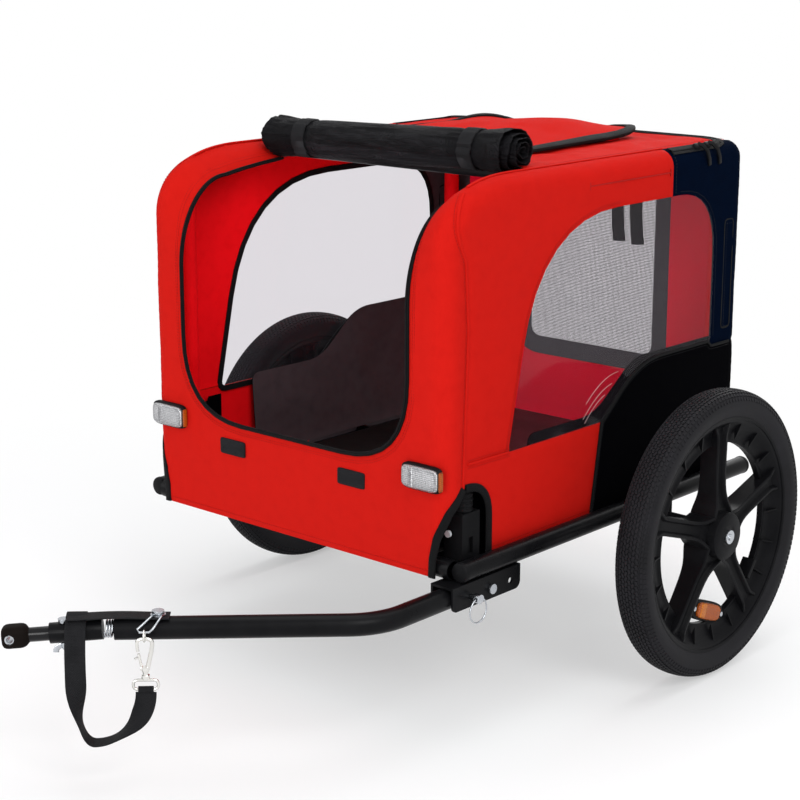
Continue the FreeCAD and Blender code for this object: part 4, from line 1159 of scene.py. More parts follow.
# %% Roll straps
strap_rings = []
for x in ROLL_STRAPS:
    ring = []
    for k in range(40):
        turn = 2 * math.pi * k / 40
        last = 2 * math.pi * (TURNS - 1) + (turn + 0.5) % (2 * math.pi)
        r = max(roll_radius(x + a, last) for a in (-10, -5, 0, 5, 10)) + 1.9
        rise = roll_tilt(x) + r * ROLL_FLAT * math.sin(turn)
        ring.append(place(x, ROLL_Y + r * math.cos(turn), ROLL_Z + rise))
    away = [(p - place(x, ROLL_Y, ROLL_Z + roll_tilt(x))).normalized() for p in ring]
    strap_rings.append(sweep(ring, oval(0.024, 0.0026, 12, 0.4), away, True))
make("roll_ties", join(*strap_rings), WEBBING, "frame", ["roll_straps"])

# %% [markdown]
# ## Roof flap
# The hatch in the roof is covered by a flap that is held at its front edge and lifts from behind. Wind and
# rolling have given it a belly, and its edge is bound in black tape.

# %% Flap
FLAP_X, FLAP_Y0, FLAP_Y1 = 150.0, -184.0, 155.0
FLAP_Z = TOP + 3.0


def on_flap(flat):
    u = flat[:, 0] / FLAP_X
    v = (flat[:, 1] - FLAP_Y0) / (FLAP_Y1 - FLAP_Y0)
    rise = np.clip(np.sin(math.pi * np.clip(v, 0, 1) ** 1.25), 0, 1)
    belly = 20.0 * np.clip(1 - u * u, 0, 1) ** 0.8 * rise ** 0.7
    curl = 13.0 * np.clip((v - 0.7) / 0.3, 0, 1) ** 1.5 * np.clip(np.abs(u) * 1.6 - 0.6, 0, 1)
    swell = 13.0 * np.exp(-((u - 0.5) / 0.4) ** 2 - ((v - 0.72) / 0.2) ** 2)
    gape = 4.0 * np.clip(np.abs(u) * 2 - 1, 0, 1) * np.clip(np.sin(math.pi * np.clip(v, 0, 1)), 0, 1)
    return np.column_stack([flat, FLAP_Z + belly + curl + swell + gape])


flap_line = soften([(-FLAP_X, FLAP_Y0), (FLAP_X, FLAP_Y0), (FLAP_X, FLAP_Y1), (-FLAP_X, FLAP_Y1)],
                   [6, 6, 60, 60])
flap = flat_pattern(flap_line, 8.0)
panel("flap_cloth", flap, on_flap, (RED, RED_IN_BACKLIT), 0.0, 3.0, (50, 120), 31.0, ["roof_flap"],
      0.0, "roof_flap")
flap_edge = even(flap_line, 6.0, True)
make("flap_binding", band_on(on_flap, flap_edge, 15.0, 7.0, 0.0, True), TAPE, "roof_flap",
     ["roof_flap"])

# %% [markdown]
# ## Back door
# The back door is a see-through mesh in a grey binding. The mesh is one sheet whose finish is cut away
# between its threads. Two straps hang inside it, for holding it open.

# %% Mesh door
OPEN_MESH, mt, ms = new_finish("see_through_mesh", Base_Color=(0.055, 0.055, 0.057), Roughness=0.6)
mesh_weave = mt.nodes.new("ShaderNodeGroup")
mesh_weave.node_tree = WEAVE
mesh_weave.inputs["Threads per metre"].default_value = 430.0
mt.links.new(mt.nodes.new("ShaderNodeTexCoord").outputs["UV"], mesh_weave.inputs["Vector"])
hole = math_node(mt, "LESS_THAN", mesh_weave.outputs["Gap"], 0.43)
mt.links.new(hole, ms.inputs["Alpha"])
mt.links.new(shade_between(mt, mesh_weave.outputs["Shade"], (0.06, 0.06, 0.062), (0.14, 0.14, 0.145)),
             ms.inputs["Base Color"])
BACK_Y = REAR + 0.3
DOOR_X, DOOR_LOW, DOOR_HIGH, BIND = 160.0, 322.0, 672.0, 44.0


def on_back(flat):
    return np.column_stack([flat[:, 0], np.full(len(flat), BACK_Y + 1.6), flat[:, 1]])


back_door_line = soften([(-DOOR_X, DOOR_LOW), (DOOR_X, DOOR_LOW), (DOOR_X, DOOR_HIGH),
                         (-DOOR_X, DOOR_HIGH)], [52] * 4)
inner_x, inner_low, inner_high = DOOR_X - BIND, DOOR_LOW + BIND, DOOR_HIGH - BIND
mesh_line = soften([(-inner_x, inner_low), (inner_x, inner_low), (inner_x, inner_high),
                    (-inner_x, inner_high)], [18] * 4)
mesh_pattern = flat_pattern(mesh_line, 9.0)
bind_pattern = flat_pattern(back_door_line, 8.0, [mesh_line])
panel("back_mesh", mesh_pattern, on_back, OPEN_MESH, 0.0, 2.4, (90, 110), 41.0, ["rear_mesh_door"],
      0.0, "rear_door", 0.4)
panel("back_door_binding", bind_pattern, on_back, BINDING, 0.6, 1.6, (40, 40), 43.0,
      ["rear_mesh_door"], 0.0, "rear_door", 1.8)

# %% [markdown]
# ## Lining and sleeves
# Inside, a coated lining covers each wheel arch from the floor up. The bent tubes run in sleeves of the
# cover's own cloth, so they show only as soft ridges.

# %% Lining and sleeves
ARCH_X, ARCH_Y0, ARCH_Y1, ARCH_TOP = 250.0, -368.0, 199.0, 689.0
lining_line = soften([(-244, 243), (-244, 365), (-100, 364), (-16, 429), (185, 428), (222, 426),
                      (222, 243)], [0, 14, 30, 30, 0, 8, 0])
lining = flat_pattern(lining_line, 8.0)
arch_line = soften([(ARCH_Y0, 243), (ARCH_Y0, ARCH_TOP), (ARCH_Y1, ARCH_TOP), (ARCH_Y1, 243)],
                   [0, 85, 45, 0])
sleeve_path = even(arch_line, 12.0)
for side, hand in SIDES:
    def inner_wall(flat, s=side):
        lean = 14.0 * np.clip((flat[:, 1] - 243) / 170, 0, 1) ** 0.6
        return np.column_stack([s * (246 + lean), flat])
    panel(f"{hand}_lining", lining, inner_wall, (BLACK, TAUPE), -1.0, 4.0, (90, 60), 51.0 + side,
          ["wheel_guards"], 0.0, thick=1.2)
    rings = []
    for index, (y, z) in enumerate(sleeve_path):
        if z < 330:
            continue
        low, high = sleeve_path[max(index - 1, 0)], sleeve_path[min(index + 1, len(sleeve_path) - 1)]
        along = Vector((0, high[0] - low[0], high[1] - low[1])).normalized()
        across = Vector((side, 0, 0))
        puff = 11.6 + 1.0 * noise.noise((y / 40, z / 40, side * 3.0))
        rings.append(circle(place(side * ARCH_X, y, z), across, across.cross(along), puff * MM, 12))
    # The sleeves use the inside red, painted brighter for light shining through the cloth.
    make(f"{hand}_sleeve", skin(rings), RED_IN_BACKLIT, "frame", [f"{hand}_side_panel"])

# %% Back door ties
TIE_TOP = 668
tie_parts = []
for x, low in ((46.0, 537.0), (80.0, 535.0)):
    path = [place(x + 12 * t + 2 * math.sin(t * 5), REAR - 6 - 4 * math.sin(t * 3),
                  TIE_TOP - (TIE_TOP - low) * t) for t in np.linspace(0, 1, 14)]
    tie_parts.append(sweep(path, oval(0.023, 0.0022, 10, 0.4), Vector((0, -1, 0))))
make("back_ties", join(*tie_parts), WEBBING, "rear_door", ["rear_mesh_door"])
print("ties:", len(tie_parts))

# %% [markdown]
# ## Repeated details
# Tread blocks, stitches, ribs and screws are one small shape set out many times. A Geometry Nodes tree does
# that: it takes points that carry an outward and a lengthwise direction, puts one shape on each, and ends
# in real mesh with its material. Its inputs are the shape's length, width and height.

# %% Setting-out tree
MEASURES = ("Length", "Width", "Height")


def setting_tree(name, kind):
    tree = bpy.data.node_groups.new(name, "GeometryNodeTree")
    tree.interface.new_socket("Points", in_out="INPUT", socket_type="NodeSocketGeometry")
    sockets = {}
    for label in (*MEASURES, "Material"):
        kind_of = "NodeSocketFloat" if label in MEASURES else "NodeSocketMaterial"
        sockets[label] = tree.interface.new_socket(label, in_out="INPUT", socket_type=kind_of).identifier
    tree.interface.new_socket("Mesh", in_out="OUTPUT", socket_type="NodeSocketGeometry")
    start, end = tree.nodes.new("NodeGroupInput"), tree.nodes.new("NodeGroupOutput")
    shape = tree.nodes.new({"block": "GeometryNodeMeshCube", "bead": "GeometryNodeMeshUVSphere",
                            "head": "GeometryNodeMeshCylinder", "fin": "GeometryNodeMeshCylinder"}[kind])
    if kind == "bead":
        shape.inputs["Segments"].default_value, shape.inputs["Rings"].default_value = 6, 4
        shape.inputs["Radius"].default_value = 0.5
    if kind in ("head", "fin"):
        shape.inputs["Vertices"].default_value = 18 if kind == "head" else 3
        shape.inputs["Radius"].default_value, shape.inputs["Depth"].default_value = 0.5, 1.0
    size = tree.nodes.new("ShaderNodeCombineXYZ")
    for axis, label in zip("XYZ", MEASURES):
        tree.links.new(start.outputs[label], size.inputs[axis])
    turn = tree.nodes.new("FunctionNodeAxesToRotation")
    turn.primary_axis, turn.secondary_axis = "Z", "X"
    for label, socket in (("out", "Primary Axis"), ("along", "Secondary Axis")):
        read = tree.nodes.new("GeometryNodeInputNamedAttribute")
        read.data_type = "FLOAT_VECTOR"
        read.inputs["Name"].default_value = label
        tree.links.new(read.outputs["Attribute"], turn.inputs[socket])
    put = tree.nodes.new("GeometryNodeInstanceOnPoints")
    real = tree.nodes.new("GeometryNodeRealizeInstances")
    paint = tree.nodes.new("GeometryNodeSetMaterial")
    tree.links.new(start.outputs["Points"], put.inputs["Points"])
    tree.links.new(shape.outputs["Mesh"], put.inputs["Instance"])
    tree.links.new(turn.outputs["Rotation"], put.inputs["Rotation"])
    tree.links.new(size.outputs[0], put.inputs["Scale"])
    tree.links.new(put.outputs[0], real.inputs[0])
    tree.links.new(real.outputs[0], paint.inputs["Geometry"])
    tree.links.new(start.outputs["Material"], paint.inputs["Material"])
    tree.links.new(paint.outputs[0], end.inputs["Mesh"])
    return tree, sockets


BLOCKS, BEADS, HEADS, FINS = (setting_tree(f"set_{kind}s", kind)
                              for kind in ("block", "bead", "head", "fin"))
print("setting-out trees:", ", ".join(tree.name for tree, _ in (BLOCKS, BEADS, HEADS, FINS)))

# %% Setting out


def set_out(name, tree, places, size, finish, body, replaces):
    """One shape on each (point, outward, along); size is length, width and height in millimetres."""
    group, sockets = tree
    mesh = bpy.data.meshes.new(name)
    mesh.from_pydata([tuple(p[0]) for p in places], [], [])
    for label, index in (("out", 1), ("along", 2)):
        data = mesh.attributes.new(label, "FLOAT_VECTOR", "POINT")
        data.data.foreach_set("vector", np.array([tuple(p[index]) for p in places], float).ravel())
    obj = bpy.data.objects.new(name, mesh)
    scene.collection.objects.link(obj)
    mod = obj.modifiers.new("setting_out", "NODES")
    mod.node_group = group
    for label, value in zip(MEASURES, size):
        mod[sockets[label]] = value * MM
    mod[sockets["Material"]] = finish
    bpy.context.view_layer.update()
    obj.data = bpy.data.meshes.new_from_object(obj.evaluated_get(bpy.context.evaluated_depsgraph_get()))
    obj.modifiers.clear()
    obj.data.shade_smooth()
    obj.data.set_sharp_from_angle(angle=math.radians(40))
    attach(obj, body)
    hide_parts(*replaces)
    return obj


print("ready to set out", ", ".join(MEASURES))

# %% [markdown]
# ## Wheels
# The tyre is solid rubber on a moulded rim with five channel spokes. The rim is turned like a lathe part,
# the spokes are lofted: wide at the hub and at the ring, with a groove down the middle. Ribs stiffen the
# ring's inner wall, and the tread is rows of small blocks, each row shifted by half a block.

# %% Sections of the wheel
TYRE_LINE = [(-15, 159), (-17.5, 163.5), (-19.2, 165.5), (-20.2, 168), (-22.6, 173), (-23.5, 179),
             (-23.2, 185), (-21.5, 190.5), (-18, 194.6), (-12, 196.8), (-6, 197.7), (0, 198)]
TYRE_LINE = TYRE_LINE + [(-x, r) for x, r in reversed(TYRE_LINE[:-1])]
RIM_LINE = [(17, 160), (18.2, 162), (18.2, 164), (17, 165), (15.6, 163.5), (15.4, 157.5), (13.5, 155),
            (9, 150.5), (5, 144), (3, 137), (2.8, 131), (4.4, 128), (4.4, 126)]
RIM_LINE = RIM_LINE + [(-x, r) for x, r in reversed(RIM_LINE)]
SPOKE_END = 153.0
SPOKE_RUNS = np.concatenate([np.linspace(24, 60, 9), np.linspace(68, 128, 7),
                             np.linspace(133, SPOKE_END, 8)])


def spoke_half(r):
    return 12.5 + 10.0 * math.exp(-((r - 24) / 20) ** 2) + 6.0 * math.exp(-((SPOKE_END - r) / 9) ** 2)


def spoke_section(r):
    """An H with rounded walls, as (across, outward) in millimetres."""
    w, wall = spoke_half(r), 5.2
    deep = 13.5 + 7.0 * math.exp(-((r - 24) / 30) ** 2)
    floor_at = 7.5 + 7.0 * math.exp(-((r - 24) / 26) ** 2)
    top = [(w, deep - 1), (w - 1.2, deep), (w - wall + 1, deep), (w - wall, deep - 1),
           (w - wall - 0.8, floor_at + 1), (w - wall - 2, floor_at)]
    half = top + [(-a, b) for a, b in reversed(top)]
    return half + [(-a, -b) for a, b in half]


# %% Wheels
TREAD_ROWS, TREAD_COUNT, SPOKES, RIBS = 9, 168, 5, 20
LUG_X, LUG_R, RIB_R = 22.2, 188.6, 145.0


def wheel(side, hand):
    centre = place(side * WHEEL_X, 0, WHEEL_R)
    body = f"{hand}_wheel"
    out = Vector((side, 0, 0))

    def radial(turn):
        return Vector((0, math.cos(turn), math.sin(turn)))

    def onward(turn):
        return Vector((0, -math.sin(turn), math.cos(turn)))

    def lathe(line, count):
        rings = []
        for x, r in line:
            rings.append([centre + (out * x + radial(2 * math.pi * k / count) * r) * MM
                          for k in range(count)])
        return skin(rings, True)

    make(f"{hand}_tyre_body", lathe(TYRE_LINE, 96), TYRE, body, [f"{hand}_tyre"], smooth=60)
    places = []
    x_line, r_line = zip(*TYRE_LINE[6:-6])
    for row, x in enumerate(np.linspace(-19.5, 19.5, TREAD_ROWS)):
        r = float(np.interp(x, x_line, r_line))
        slope = (float(np.interp(x + 1, x_line, r_line)) - float(np.interp(x - 1, x_line, r_line))) / 2
        for k in range(TREAD_COUNT):
            turn = 2 * math.pi * (k + (row % 2) / 2) / TREAD_COUNT
            lift = (radial(turn) - out * slope).normalized()
            lean = onward(turn) + out * (0.35 if row % 2 else -0.35)
            places.append((centre + (out * x + radial(turn) * (r + 0.5)) * MM, lift, lean))
    set_out(f"{hand}_tread", BLOCKS, places, (6.2, 3.3, 1.9), TYRE, body, [f"{hand}_tyre"])
    lugs = []
    for k in range(TREAD_COUNT):
        turn = 2 * math.pi * k / TREAD_COUNT
        for face in (1, -1):
            lift = (out * face * 0.85 + radial(turn) * 0.5).normalized()
            lugs.append((centre + (out * face * LUG_X + radial(turn) * LUG_R) * MM, lift, radial(turn)))
    set_out(f"{hand}_tyre_lugs", BLOCKS, lugs, (5.4, 2.8, 1.2), TYRE, body, [f"{hand}_tyre"])

    spokes = []
    for k in range(SPOKES):
        turn = math.pi / 2 + 2 * math.pi * k / SPOKES
        across = onward(turn)
        spokes.append(skin([[centre + (radial(turn) * r + across * a + out * b) * MM
                             for a, b in spoke_section(r)] for r in SPOKE_RUNS]))
    hub = spin([(-0.030, 0.001), (-0.030, 0.024), (-0.026, 0.028), (-0.018, 0.033), (0.020, 0.033),
                (0.0265, 0.0325), (0.0285, 0.030), (0.0285, 0.0125), (0.0262, 0.0118), (0.0262, 0.001)],
               centre, out, 56)
    pad_turn = math.radians(-38)
    pad_path = [centre + radial(pad_turn) * 0.123 + onward(pad_turn) * t for t in (-0.014, 0.014)]
    pad = sweep(pad_path, oval(0.020, 0.008, 12, 0.3), radial(pad_turn))
    make(f"{hand}_wheel_casting", join(lathe(RIM_LINE, 96), hub, pad, *spokes), RIM_PLASTIC, body,
         [f"{hand}_rim"], smooth=42)
    ribs = []
    for k in range(RIBS):
        turn = math.pi / 2 + 2 * math.pi * k / RIBS
        if k % (RIBS // SPOKES):
            for face in (1, -1):
                spot = centre + (radial(turn) * RIB_R + out * face * 7.0) * MM
                ribs.append((spot, onward(turn), -radial(turn)))
    set_out(f"{hand}_rim_ribs", FINS, ribs, (30.0, 13.0, 2.2), RIM_PLASTIC, body,
            [f"{hand}_rim"])


for side, hand in SIDES:
    wheel(side, hand)
print("two wheels")

# %% [markdown]
# ## Reflectors
# A reflector is a moulded lens full of small prisms, clipped in a frame. The prisms are a pattern of little
# cells that tilts the light, so the lens glitters instead of shining like plain glass. The front ones are
# clear, the wheels carry amber ones, each held by two screws.

# %% Lens finishes


def lens_finish(name, dark, light, cells, **constants):
    mat, tree, shader = new_finish(name, **constants)
    coords = tree.nodes.new("ShaderNodeTexCoord").outputs["Object"]
    prisms = add_node(tree, "ShaderNodeTexVoronoi", Scale=cells, Randomness=0.15)
    tree.links.new(coords, prisms.inputs["Vector"])
    tree.links.new(shade_between(tree, prisms.outputs["Distance"], light, dark),
                   shader.inputs["Base Color"])
    tree.links.new(bump(tree, prisms.outputs["Distance"], 0.0012, 0.9), shader.inputs["Normal"])
    return mat


CLEAR_LENS = lens_finish("clear_lens", (0.11, 0.11, 0.12), (0.50, 0.50, 0.51), 420.0, Metallic=0.55,
                         Roughness=0.16, Coat_Weight=0.6, Coat_Roughness=0.04)
AMBER_LENS = lens_finish("amber_lens", (0.16, 0.023, 0.001), (0.46, 0.095, 0.003), 420.0, Roughness=0.3,
                         Specular_IOR_Level=0.2, Coat_Weight=0.25, Coat_Roughness=0.05)
# Painted highlight: a paler amber for the bright end of each wheel reflector's lens.
AMBER_HIGHLIGHT = lens_finish("amber_lens_painted_highlight", (0.36, 0.080, 0.002), (0.74, 0.23, 0.007), 420.0, Roughness=0.3,
                         Specular_IOR_Level=0.2, Coat_Weight=0.25, Coat_Roughness=0.05)
print("three lenses")

# %% Front reflectors
X_AXIS, Y_AXIS = Vector((1, 0, 0)), Vector((0, 1, 0))
GLINT_X, GLINT_Z = 233.0, 342.0
frames, lenses, glows = [], [], []
for side in (1, -1):
    at = place(side * GLINT_X, FRONT - 1.5, GLINT_Z)
    frames.append(pillow(at, X_AXIS, UP, -Y_AXIS, 64, 34, 7.0, 0.35))
    lenses.append(pillow(at - Y_AXIS * 2 * MM, X_AXIS, UP, -Y_AXIS, 59, 29.5, 8.5, 0.35))
    lenses.append(pillow(at - Y_AXIS * 4 * MM - X_AXIS * 12 * MM, X_AXIS, UP, -Y_AXIS, 9, 27, 7.8, 0.3))
    glows.append(pillow(at - Y_AXIS * 1.5 * MM + X_AXIS * 31.8 * MM, X_AXIS, UP, -Y_AXIS, 3.2,
                        25, 5.5, 0.5))
make("front_reflector_frames", join(*frames), PLASTIC, "frame", ["front_reflectors"])
make("front_reflector_lenses", join(*lenses), CLEAR_LENS, "frame", ["front_reflectors"])
make("front_reflector_glow", join(*glows), AMBER_LENS, "frame", ["front_reflectors"])
print("front reflectors:", len(frames))

# %% Wheel reflectors
REFLECTOR_LEAN = -16
for side, hand in SIDES:
    low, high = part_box(f"{hand}_wheel_reflector")
    mid = (low + high) / 2 + Vector((-side * 4 * MM, -10 * MM, 4 * MM))
    out = Vector((side, 0, 0))
    body = f"{hand}_wheel"
    spoke = (mid - place(side * WHEEL_X, 0, WHEEL_R)) * Vector((0, 1, 1))
    lean = Matrix.Rotation(math.radians(REFLECTOR_LEAN), 3, "X")
    along = lean @ Vector((0, -spoke.z, spoke.y)).normalized()
    across = lean @ spoke.normalized()
    # The block at one end of each wheel lens takes the paler amber, a painted highlight.
    for part, spot, size, finish, slot in (
            ("frame", mid - out * 6 * MM, (84, 29, 7, 0.6), PLASTIC, "black_plastic"),
            ("lens", mid - out * 1 * MM, (60, 23, 6, 0.5), AMBER_LENS, "amber_lens"),
            ("block", mid + (out * 1.2 - along * 17) * MM, (15, 20, 4.6, 0.4), AMBER_HIGHLIGHT, "amber_lens")):
        make(f"{hand}_amber_{part}", pillow(spot, along, across, out, *size), finish, body,
             [f"{hand}_wheel_reflector"])
    heads = [(mid + out * 1.5 * MM + along * t * MM, out, UP) for t in (-36, 36)]
    set_out(f"{hand}_amber_screws", HEADS, heads, (6.5, 6.5, 2.4), ZINC, body,
            [f"{hand}_wheel_reflector"])
print("wheel reflectors, leaned", REFLECTOR_LEAN, "degrees")

# %% [markdown]
# ## Base rails
# The two rails that carry the cabin are plain steel tubes with pressed-in end caps.

# %% Rails and caps
RAIL_X, RAIL_Z, RAIL_Y0, RAIL_Y1 = 281.0, 224.0, -404.0, 240.0
caps = []
for side, hand in SIDES:
    start = place(side * RAIL_X, RAIL_Y0, RAIL_Z)
    length = (RAIL_Y1 - RAIL_Y0) * MM
    tube = spin([(0, 0.0108), (0, 0.0122), (0.0005, 0.0127), (length - 0.0005, 0.0127), (length, 0.0122),
                 (length, 0.0108)], start, Y_AXIS, 40)
    make(f"{hand}_rail_tube", tube, PAINT, "frame", [f"{hand}_base_rail"])
    for end, way in ((start, -1), (place(side * RAIL_X, RAIL_Y1, RAIL_Z), 1)):
        caps.append(spin([(-0.004, 0.001), (-0.004, 0.0106), (0.0, 0.0106), (0.0, 0.0132), (0.003, 0.0132),
                          (0.0052, 0.0122), (0.006, 0.0100), (0.006, 0.0001)], end, Y_AXIS * way, 24))
make("rail_caps", join(*caps), PLASTIC, "frame", ["rail_end_caps"])
print("two rails with", len(caps), "caps")

# %% [markdown]
# ## Coupling
# The coupling arm leaves the spring with a slight droop. Its knob is a rubber block moulded over a metal
# sleeve; the bicycle's hitch pin goes through that sleeve. The wing nut below clamps the arm.

# %% Spring
FLEX_RUN, DROOP = 322.25, math.radians(4.0)
ARM_DIR = BAR_DIR * math.cos(DROOP) - UP * math.sin(DROOP)
ARM_UP = UP * math.cos(DROOP) + BAR_DIR * math.sin(DROOP)


def on_arm(run, side=0.0, up=0.0):
    return on_bar(FLEX_RUN) + (ARM_DIR * (run - FLEX_RUN) + BAR_SIDE * side + ARM_UP * up) * MM


COIL = [(k / 40, 2 * math.pi * k / 40) for k in range(121)]
coil_path = [on_bar(317.5 + 3.3 * turns, 10 * math.cos(angle), 10 * math.sin(angle))
             for turns, angle in COIL]
coil_out = [BAR_SIDE * math.cos(angle) + UP * math.sin(angle) for _, angle in COIL]
coil = make("spring_coil", sweep(coil_path, oval(0.0026, 0.0026, 12), coil_out), ZINC, None,
            ["coupling_spring"])
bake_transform(coil)
print("spring of", round(COIL[-1][0], 1), "turns")

# %% Knob and its sleeve
knob_rings = []
for run, half, power in ((414, 8.6, 1.0), (417.5, 8.8, 1.0), (418.4, 9.6, 0.9), (421, 12.2, 0.7),
                         (424, 13.2, 0.6), (428, 13.5, 0.55), (441, 13.5, 0.55), (445, 13.1, 0.55),
                         (447.6, 12.0, 0.6), (449.2, 10.0, 0.65), (449.8, 7.0, 0.7), (449.9, 0.3, 1.0)):
    knob_rings.append([on_arm(run, a, b) for a, b in oval(2 * half, 2 * half, 40, power)])
EYE = on_arm(439)
bore = spin([(-0.02, 0.0052), (0.02, 0.0052)], EYE, BAR_SIDE, 32)
make("knob_rubber", skin(knob_rings), RUBBER, "coupling", ["coupling_knob"], smooth=50, cut=bore)
lining_tube = [(-0.0133, 0.0041), (-0.0133, 0.0053), (-0.0127, 0.0055), (-0.0124, 0.0051), (0.0124, 0.0051),
               (0.0127, 0.0062), (0.0133, 0.0060), (0.0133, 0.0041)]
side_a = BAR_SIDE.orthogonal().normalized()
tube_rings = [circle(EYE + BAR_SIDE * run, side_a, BAR_SIDE.cross(side_a), radius, 32)
              for run, radius in lining_tube]
make("knob_sleeve", skin(tube_rings, True), ZINC, "coupling", ["coupling_knob"])
print("knob of", len(knob_rings), "rings")

# %% Wing nut
low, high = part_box("wing_nut")
nut_at = (low + high) / 2
nut_axis = Vector((-0.05018, -0.04846, 0.99756))
nut_top = nut_at + nut_axis * (high.z - low.z) / 2
nut_parts = [spin([(0, 0.0030), (0, 0.0058), (0.001, 0.0062), (0.0035, 0.0058), (0.0085, 0.0046),
                   (0.009, 0.0030)], nut_top, -nut_axis, 24)]
for way in (1, -1):
    path = [nut_top + BAR_DIR * way * a * MM - nut_axis * b * MM
            for a, b in ((3.4, 4.5), (7, 5), (10.5, 7.2), (12.4, 10.5), (12.6, 13))]
    nut_parts.append(sweep(path, oval(0.0026, 0.0072, 12, 0.7), nut_axis))
make("wing_nut_body", join(*nut_parts), ZINC, "wing_nut", ["wing_nut"])
print("wing nut with", len(nut_parts) - 1, "wings")

# %% [markdown]
# ## Snap hook
# The hook is bent and cast in nickel-plated zinc: a bow with a spring gate, a swivel collar and a loop for
# the webbing. It hangs on a ring, and the ring hangs on a bent wire under the strap bolt.

# %% Hook
BOW_TOP = -4.5


def on_hook(run, drop, side=0.0):
    return on_bar(HOOK_RUN + run, HOOK_SIDE + side, BOW_TOP - drop)


bow = spline_points("bow", [on_hook(*p)
                            for p in ((-2, 40), (-9, 12), (-9, 0), (9, 0), (9, 12), (8, 16))], 10)
bow_rings = []
for k, (spot, along) in enumerate(zip(bow, tangents(bow))):
    across = along.cross(BAR_SIDE).normalized()
    r = 1.9 + 0.9 * (1 - k / len(bow))
    bow_rings.append(circle(spot, across, BAR_SIDE, r * MM, 14))
collar = spin([(0, 0.0020), (0, 0.0044), (0.003, 0.0050), (0.006, 0.0044), (0.0075, 0.0036),
               (0.0095, 0.0036), (0.0105, 0.0050), (0.0135, 0.0053), (0.0155, 0.0046), (0.0162, 0.0022)],
              on_hook(0, 35), -UP, 24)
loop = even(soften([(-15, 52), (15, 52), (15, 64), (-15, 64)], [6] * 4), 2.5, True)
eye_loop = sweep([on_hook(a, b) for a, b in loop], oval(0.0038, 0.0038, 12), BAR_SIDE, True)
hook = make("hook_body", join(skin(bow_rings), collar, eye_loop), NICKEL, "tow_bar",
            ["snap_hook"])

# %% Gate and wire
gate_path = [on_hook(4, 38), on_hook(5.4, 30), on_hook(6.8, 22), on_hook(7.5, 18.6)]
gate = sweep(gate_path, oval(0.0034, 0.0046, 12), BAR_SIDE)
spur = sweep([on_hook(6.0, 25), on_hook(9.6, 24), on_hook(12.0, 25.5)], oval(0.0030, 0.0040, 10), BAR_SIDE)
pin = spin([(-0.0034, 0.0016), (-0.0031, 0.0022), (0.0031, 0.0022), (0.0034, 0.0016)], on_hook(4, 37),
           BAR_SIDE, 16)
leaf = make("hook_gate_leaf", join(gate, spur, pin), NICKEL, "hook_gate", ["snap_hook_gate"])
wire = [on_bar(*p) for p in ((258, 1, 17.3), (260, 9, 16.6), (264, 17, 12.5), (269, 23, 7), (273, 24, 3.5),
                             (285, 24, 3.5), (287, 23, 7), (279, 17, 12.5), (272, 9, 16.6), (270, 1, 17.3),
                             (266, -6, 17.3), (262, -6, 17.3))]
washer = spin([(0, 0.0034), (0, 0.0092), (0.0014, 0.0092), (0.0014, 0.0034)], on_bar(264, 0, 16.1), UP, 28)
make("hook_wire", join(sweep(wire, oval(0.0026, 0.0026, 10), UP, True), washer), ZINC, "tow_bar",
     ["strap_anchor"])
print("hook, gate and wire")

# %% [markdown]
# ## Corner pockets and screws
# Behind each front cut-out a black pocket closes the cabin, and the foot block is held by plated screws.

# %% Pockets and screws
for side, hand in SIDES:
    def pocket_wall(flat, s=side):
        turn = np.clip((flat[:, 0] + 356) / 46, 0, 1)
        out = 226 + 0.1 * (flat[:, 1] - 214) + 34 * turn * turn * (3 - 2 * turn)
        return np.column_stack([s * np.minimum(out, 260), flat])
    pocket = flat_pattern([(-414, 215), (-304, 222), (-304, 345), (-400, 345)], 8.0)
    panel(f"{hand}_pocket", pocket, pocket_wall, (BLACK, BLACK), 0.0, 1.5, (60, 60), 61.0 + side,
          ["cutout_bindings"], 0.0)
screws = [(place(side * 246, -389.5, 263), -Y_AXIS, UP) for side in (1, -1)]
# These screws sit in the cut-out's shade; their pale finish is a painted highlight.
set_out("foot_screws", HEADS, screws, (9.0, 9.0, 3.6), ZINC_HIGHLIGHT, "frame", ["frame_bolts"])

# %% [markdown]
# ## Seams and stitches
# Every seam is sewn with a lockstitch a few millimetres long. The stitches are beads set out along lines
# drawn on the patterns. Red thread is used on red cloth and black thread elsewhere. A folded welt under
# each main seam makes it stand out. Along each sleeve line a band in the thread's darker red is painted
# shade for the fold there, and short bar tacks cross its ends.

# %% Stitch lines on the sides
PITCH = 4.2


def stitch_places(lay, line, lift=0.5):
    path, out = laid(lay, even(line, PITCH), lift)
    return list(zip(path, out, tangents(path)))


